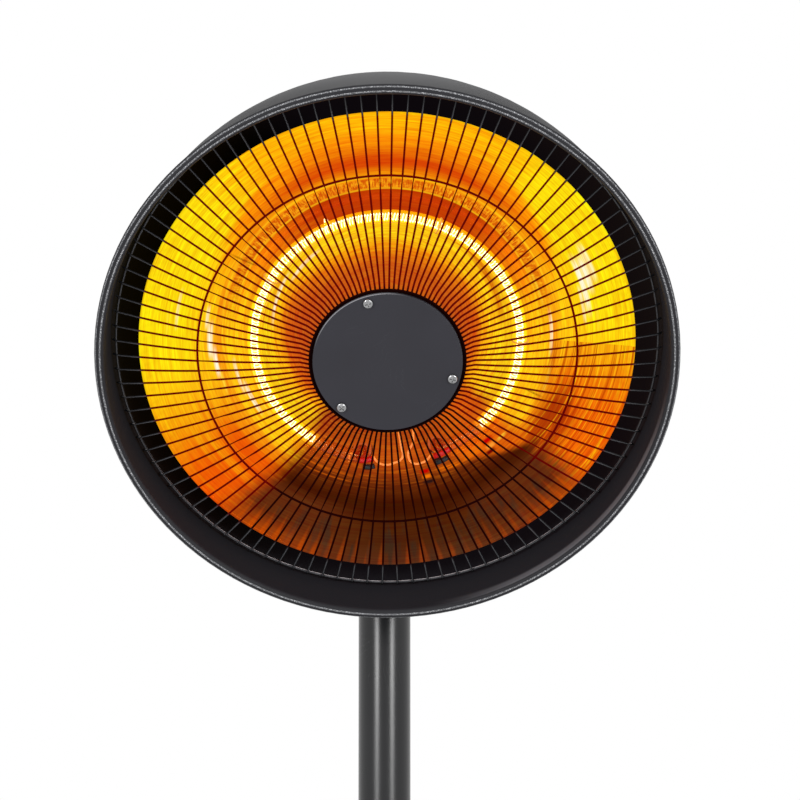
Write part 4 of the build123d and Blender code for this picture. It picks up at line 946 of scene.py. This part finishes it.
lampTube = {
    "roughness": 0.02, "endRoughness": 0.14, "ior": 1.46, "middle": 96, "half": (144.5, 137.5),
    "clear": (1, 0.97, 0.92, 1), "ends": (0.985, 0.82, 0.6, 1), "mirrored": (1, 0.5, 0.2, 1),
    "glow": tint(255, 170, 0), "glowPale": tint(255, 200, 20), "endGlow": tint(60, 20, 2), "strength": 0.2,
    "mottle": (1.5, 3), "mottleDepth": 0.3,
}


def quartzTube(tube):
    tree, shader = newFinish("lampGlass", tube["roughness"])
    polar = useGroup(tree, polarGroup)
    fromMiddle = calc("FLOORED_MODULO", polar["Degrees"] - tube["middle"] + 180, 360)
    lit = fade(calc("ABSOLUTE", fromMiddle - 180), *tube["half"])
    mottled = grainNoise(vector(polar["Degrees"], polar["Depth"] * tube["mottleDepth"]), *tube["mottle"])
    hot = mix(mottled, tube["glow"], tube["glowPale"])
    feed(
        shader, Transmission_Weight=1, IOR=tube["ior"], Specular_Tint=tube["mirrored"],
        Base_Color=mix(lit, tube["ends"], tube["clear"]),
        Emission_Color=mix(lit, tube["endGlow"], hot), Emission_Strength=tube["strength"],
        Roughness=rescale(lit, 0, 1, tube["endRoughness"], tube["roughness"]),
    )


wireLook = {"roughness": 0.5, "colour": (0.2, 0.12, 0.06, 1), "scale": 900}


# a wire with its own glow: on the coil and its core this is the lamp's light; on the leads, the clips and the
# stays it is painted light of the lamp
def glowingWire(name, dim, bright, strength, look=wireLook):
    tree, shader = newFinish(name, look["roughness"])
    mottled = grainNoise(objectPlace(tree), look["scale"])
    glow = toneOf(mottled, {"dark": dim, "light": bright})
    feed(shader, Base_Color=look["colour"], Emission_Color=glow, Emission_Strength=strength)


quartzTube(lampTube)
glowingWire("lampCoil", tint(255, 232, 140), tint(255, 252, 238), 2.1)
glowingWire("lampCore", tint(255, 170, 14), tint(255, 222, 80), 0.85)
glowingWire("lampLead", tint(120, 44, 8), tint(214, 96, 20), 0.8)
glowingWire("clipWire", tint(200, 104, 16), tint(246, 176, 30), 0.85)


def newPiece(name, shape, finish):
    mesh = bpy.data.meshes.new(name)
    shape.to_mesh(mesh)
    shape.free()
    mesh.materials.append(finish)
    piece = addObject(name, mesh)
    return piece


def joinRings(shape, rings):
    sides = len(rings[0])
    for near, far in zip(rings, rings[1:]):
        for k in range(sides):
            shape.faces.new((near[k], near[(k + 1) % sides], far[(k + 1) % sides], far[k]))
    shape.faces.new(rings[0][::-1])
    shape.faces.new(rings[-1])


def addRing(shape, centre, first, second, radius, sides):
    angles = [2 * math.pi * k / sides for k in range(sides)]
    return [
        shape.verts.new(centre + first * radius * math.cos(a) + second * radius * math.sin(a)) for a in angles
    ]


def sweepTube(name, points, radius, sides, finish):
    shape = bmesh.new()
    normal = Vector((0.3, 0.5, 0.8))  # any direction that no tube starts along
    rings = []
    for i, point in enumerate(points):
        along = (points[min(i + 1, len(points) - 1)] - points[max(i - 1, 0)]).normalized()
        normal = (normal - along * normal.dot(along)).normalized()
        rings.append(addRing(shape, point, normal, along.cross(normal), radius, sides))
    joinRings(shape, rings)
    for face in shape.faces:
        face.smooth = True
    return newPiece(name, shape, finish)


coilShape = {
    "ringRadius": 0.106, "depth": 0.044, "start": -44.5, "end": 236.5, "windRadius": 0.0027,
    "wireRadius": 0.00042, "pitch": 0.0023, "perTurn": 13, "uneven": 0.22, "unevenScale": 1.7, "shift": 0.4,
    "shiftScale": 0.9, "wireSides": 5, "coreRadius": 0.0016, "coreSteps": 180, "leadSteps": 24,
    "bend": 0.009, "bendSteps": 12, "legSteps": 6, "sides": 8, "legEnd": 0.083, "legTurns": (254.5, 297.5),
    "leadRadius": 0.0006,
}


def lampPoint(turn, outward=0, ahead=0):
    a = math.radians(turn)
    reach = coilShape["ringRadius"] + outward
    return headPoint(reach * math.cos(a), reach * math.sin(a), coilShape["depth"] - ahead)


def evenly(start, end, steps):
    return [start + (end - start) * i / steps for i in range(steps + 1)]


def windCoil(given):
    length = math.radians(given["end"] - given["start"]) * given["ringRadius"]
    points = []
    steps = int(length / given["pitch"] * given["perTurn"])
    for i, turn in enumerate(evenly(given["start"], given["end"], steps)):
        wound = 2 * math.pi * i / given["perTurn"]
        wider = noise.noise(Vector((turn * given["unevenScale"], 0, 0)))
        reach = given["windRadius"] * (1 + given["uneven"] * wider)
        shifted = turn + given["shift"] * noise.noise(Vector((0, turn * given["shiftScale"], 0)))
        points.append(lampPoint(shifted, reach * math.cos(wound), reach * math.sin(wound)))
    return sweepTube("woundCoil", points, given["wireRadius"], given["wireSides"], finishes["lampCoil"])


def coreOf(given):
    points = [lampPoint(turn) for turn in evenly(given["start"], given["end"], given["coreSteps"])]
    return sweepTube("coilCore", points, given["coreRadius"], given["sides"], finishes["lampCore"])


def coilLeads(given):
    pieces = []
    left, right = given["legTurns"]
    ends = (("coilLeadLeft", given["end"], left, 1), ("coilLeadRight", given["start"] + 360, right, -1))
    for name, coilTurn, legTurn, side in ends:
        points = [lampPoint(turn) for turn in evenly(coilTurn, legTurn, given["leadSteps"])]
        a = math.radians(legTurn)
        along = (headUp * math.cos(a) - headAcross * math.sin(a)) * side
        corner = points[-1]
        for b in evenly(0, math.pi / 2, given["bendSteps"])[1:]:
            sideways, back = math.sin(b), 1 - math.cos(b)
            points.append(corner + along * given["bend"] * sideways - headOut * given["bend"] * back)
        straight = given["legEnd"] - given["depth"] - given["bend"]
        down = evenly(0, straight, given["legSteps"])[1:]
        points += [points[-1] - headOut * away for away in down]
        lead = sweepTube(name, points, given["leadRadius"], given["sides"], finishes["lampLead"])
        pieces.append(lead)
    return pieces


wound = windCoil(coilShape)
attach(wound, "head")
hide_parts("lamp_filament")
for piece in [coreOf(coilShape), *coilLeads(coilShape)]:
    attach(piece, "head")

# sealed tip where the tube was pumped out; its profile is height and width, as shares
tipShape = {
    "turn": 115.5, "base": 0.0054, "sunk": 0.0009, "height": 0.0042, "radius": 0.0021, "lean": 0.0003,
    "sides": 16, "profile": [(0, 1.25), (0.2, 1), (0.5, 0.86), (0.75, 0.6), (0.93, 0.3), (1, 0.06)],
}


def sealedTip(given):
    outward = (lampPoint(given["turn"], 0.01) - lampPoint(given["turn"])).normalized()
    other = outward.cross(headOut)
    root = lampPoint(given["turn"], given["base"] - given["sunk"])
    shape = bmesh.new()
    rings = []
    for high, wide in given["profile"]:
        rise = outward * high * (given["height"] + given["sunk"])
        centre = root + rise + other * given["lean"] * high
        rings.append(addRing(shape, centre, headOut, other, given["radius"] * wide, given["sides"]))
    joinRings(shape, rings)
    for face in shape.faces:
        face.smooth = len(face.verts) == 4
    bmesh.ops.recalc_face_normals(shape, faces=shape.faces)
    return newPiece("lampTip", shape, finishes["lampGlass"])


tip = sealedTip(tipShape)
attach(tip, "head")

# bent wire stays between the lamp's ends and the floor of the bowl, with a painted glow: across, up and depth
# in mm
stayShape = {
    "wire": 0.0009, "rounding": 3, "dim": tint(214, 84, 18), "bright": tint(255, 150, 56), "glow": 1.1,
    "runs": {
        "lampStayLeft": [
            (-11.5, -105.5, 50), (-8.2, -109.8, 48.5), (-4, -112.4, 48), (0.8, -113, 48), (6.2, -111.4, 48),
            (11, -108.8, 48), (13, -105.6, 48.4), (12.4, -100.5, 50), (11.2, -95, 53), (10.2, -90, 57),
            (9.4, -84, 62),
        ],
        "lampStayRight": [
            (36.6, -103.6, 49), (32.6, -108.6, 48), (27.8, -111.4, 48), (23.2, -112, 48), (19.6, -110, 48),
            (17.8, -106.4, 48.2), (17.6, -102.2, 49), (19.4, -98.4, 50.5), (21.4, -95, 52.5),
            (21.6, -90, 56.5), (21.2, -83.5, 62),
        ],
        "lampHook": [
            (-29.2, -103.6, 50), (-28.2, -102.4, 47.5), (-29.4, -102, 45.4), (-30.4, -104.2, 44.8),
            (-30.4, -108.6, 46),
        ],
    },
}


def bendStays(given):
    glowingWire("litWire", given["dim"], given["bright"], given["glow"])
    for name, run in given["runs"].items():
        curve = bpy.data.curves.new(name, "CURVE")
        curve.dimensions = "3D"
        curve.bevel_depth = given["wire"]
        curve.bevel_resolution = given["rounding"]
        curve.use_fill_caps = True
        line = curve.splines.new("BEZIER")
        line.bezier_points.add(len(run) - 1)
        for point, place in zip(line.bezier_points, run):
            point.co = headPointMm(place)
            point.handle_left_type = "AUTO"
            point.handle_right_type = "AUTO"
        curve.materials.append(finishes["litWire"])
        piece = addObject(name, curve)
        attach(piece, "head")


bendStays(stayShape)

# red pads and dark clamps on the front of the lamp's two ends, from one end to the other
endPads = {
    "sides": 12, "padRadius": 0.0023, "clampRadius": 0.0022,
    "pads": {
        "endPadLeft": [(-22.6, -103.4, 37), (-18, -103.4, 36.6), (-10.4, -101.8, 37)],
        "endPadRight": [(38.2, -99.6, 37), (45, -96.8, 36.6), (51.6, -92.4, 37)],
    },
    "clamps": {
        "endClampLeft": [(-19, -109.6, 37.6), (-14, -109.8, 37.4), (-9.6, -108.8, 37.6)],
        "endClampRight": [(40.2, -105.8, 37.6), (45, -103.8, 37.4), (49.6, -100.8, 37.6)],
    },
}


redSilicone = finishes["redSilicone"]


def layPads(runs, radius, sides, finish):
    for name, run in runs.items():
        piece = sweepTube(name, [headPointMm(place) for place in run], radius, sides, finish)
        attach(piece, "head")


layPads(endPads["pads"], endPads["padRadius"], endPads["sides"], redSilicone)
layPads(endPads["clamps"], endPads["clampRadius"], endPads["sides"], finishes["blackPlastic"])
print("lamp wound")


# finishes onto the frame's pieces

piecesOf = {
    "shadeBlack": "shade", "reflectorGold": "reflector", "lampGlass": "lamp_tube",
    "lampLead": "lamp_filament", "clipWire": "lamp_clips", "redSilicone": "lamp_sleeves",
    "guardBlack": "wire_guard", "discGrey": "guard_disc", "aluminisedSheet": "heat_baffle",
    "brassInsert": "knob_insert", "springSteel": "tip_spring", "castIron": "ballast_disc",
    "housingBlack": "rear_housing", "castBlack": "hinge_lug pole_fork pole_socket",
    "poleBlack": "pole_upper pole_middle pole_lower", "baseBlack": "base_collar base_cover",
    "ceramic": "lamp_end_caps lamp_leads terminal_block",
    "brightSteel": "disc_screws pivot_bolt knob_washer",
    "zincSteel": "rivet_nuts guard_post guard_bolt reflector_screws reflector_spacers carrier_plate "
    "carrier_nuts front_spacers rear_spacers terminal_screws lug_bolts upper_coupler lower_coupler",
    "blackScrews": "carrier_bolts housing_screws pole_screws socket_bolts",
    "blackPlastic": "thermal_cutout head_gland switch_body switch_rocker tilt_knob base_gland "
    "tip_switch_body tip_plunger",
    "blackRubber": "housing_gasket friction_washers pole_grommet foot_ring",
}
finishOf = {name: finish for finish, names in piecesOf.items() for name in names.split()}
for name, node in nodes.items():
    for slot in node.material_slots:
        slot.material = finishes[finishOf[name]]
print("finishes given to", len(nodes), "nodes")
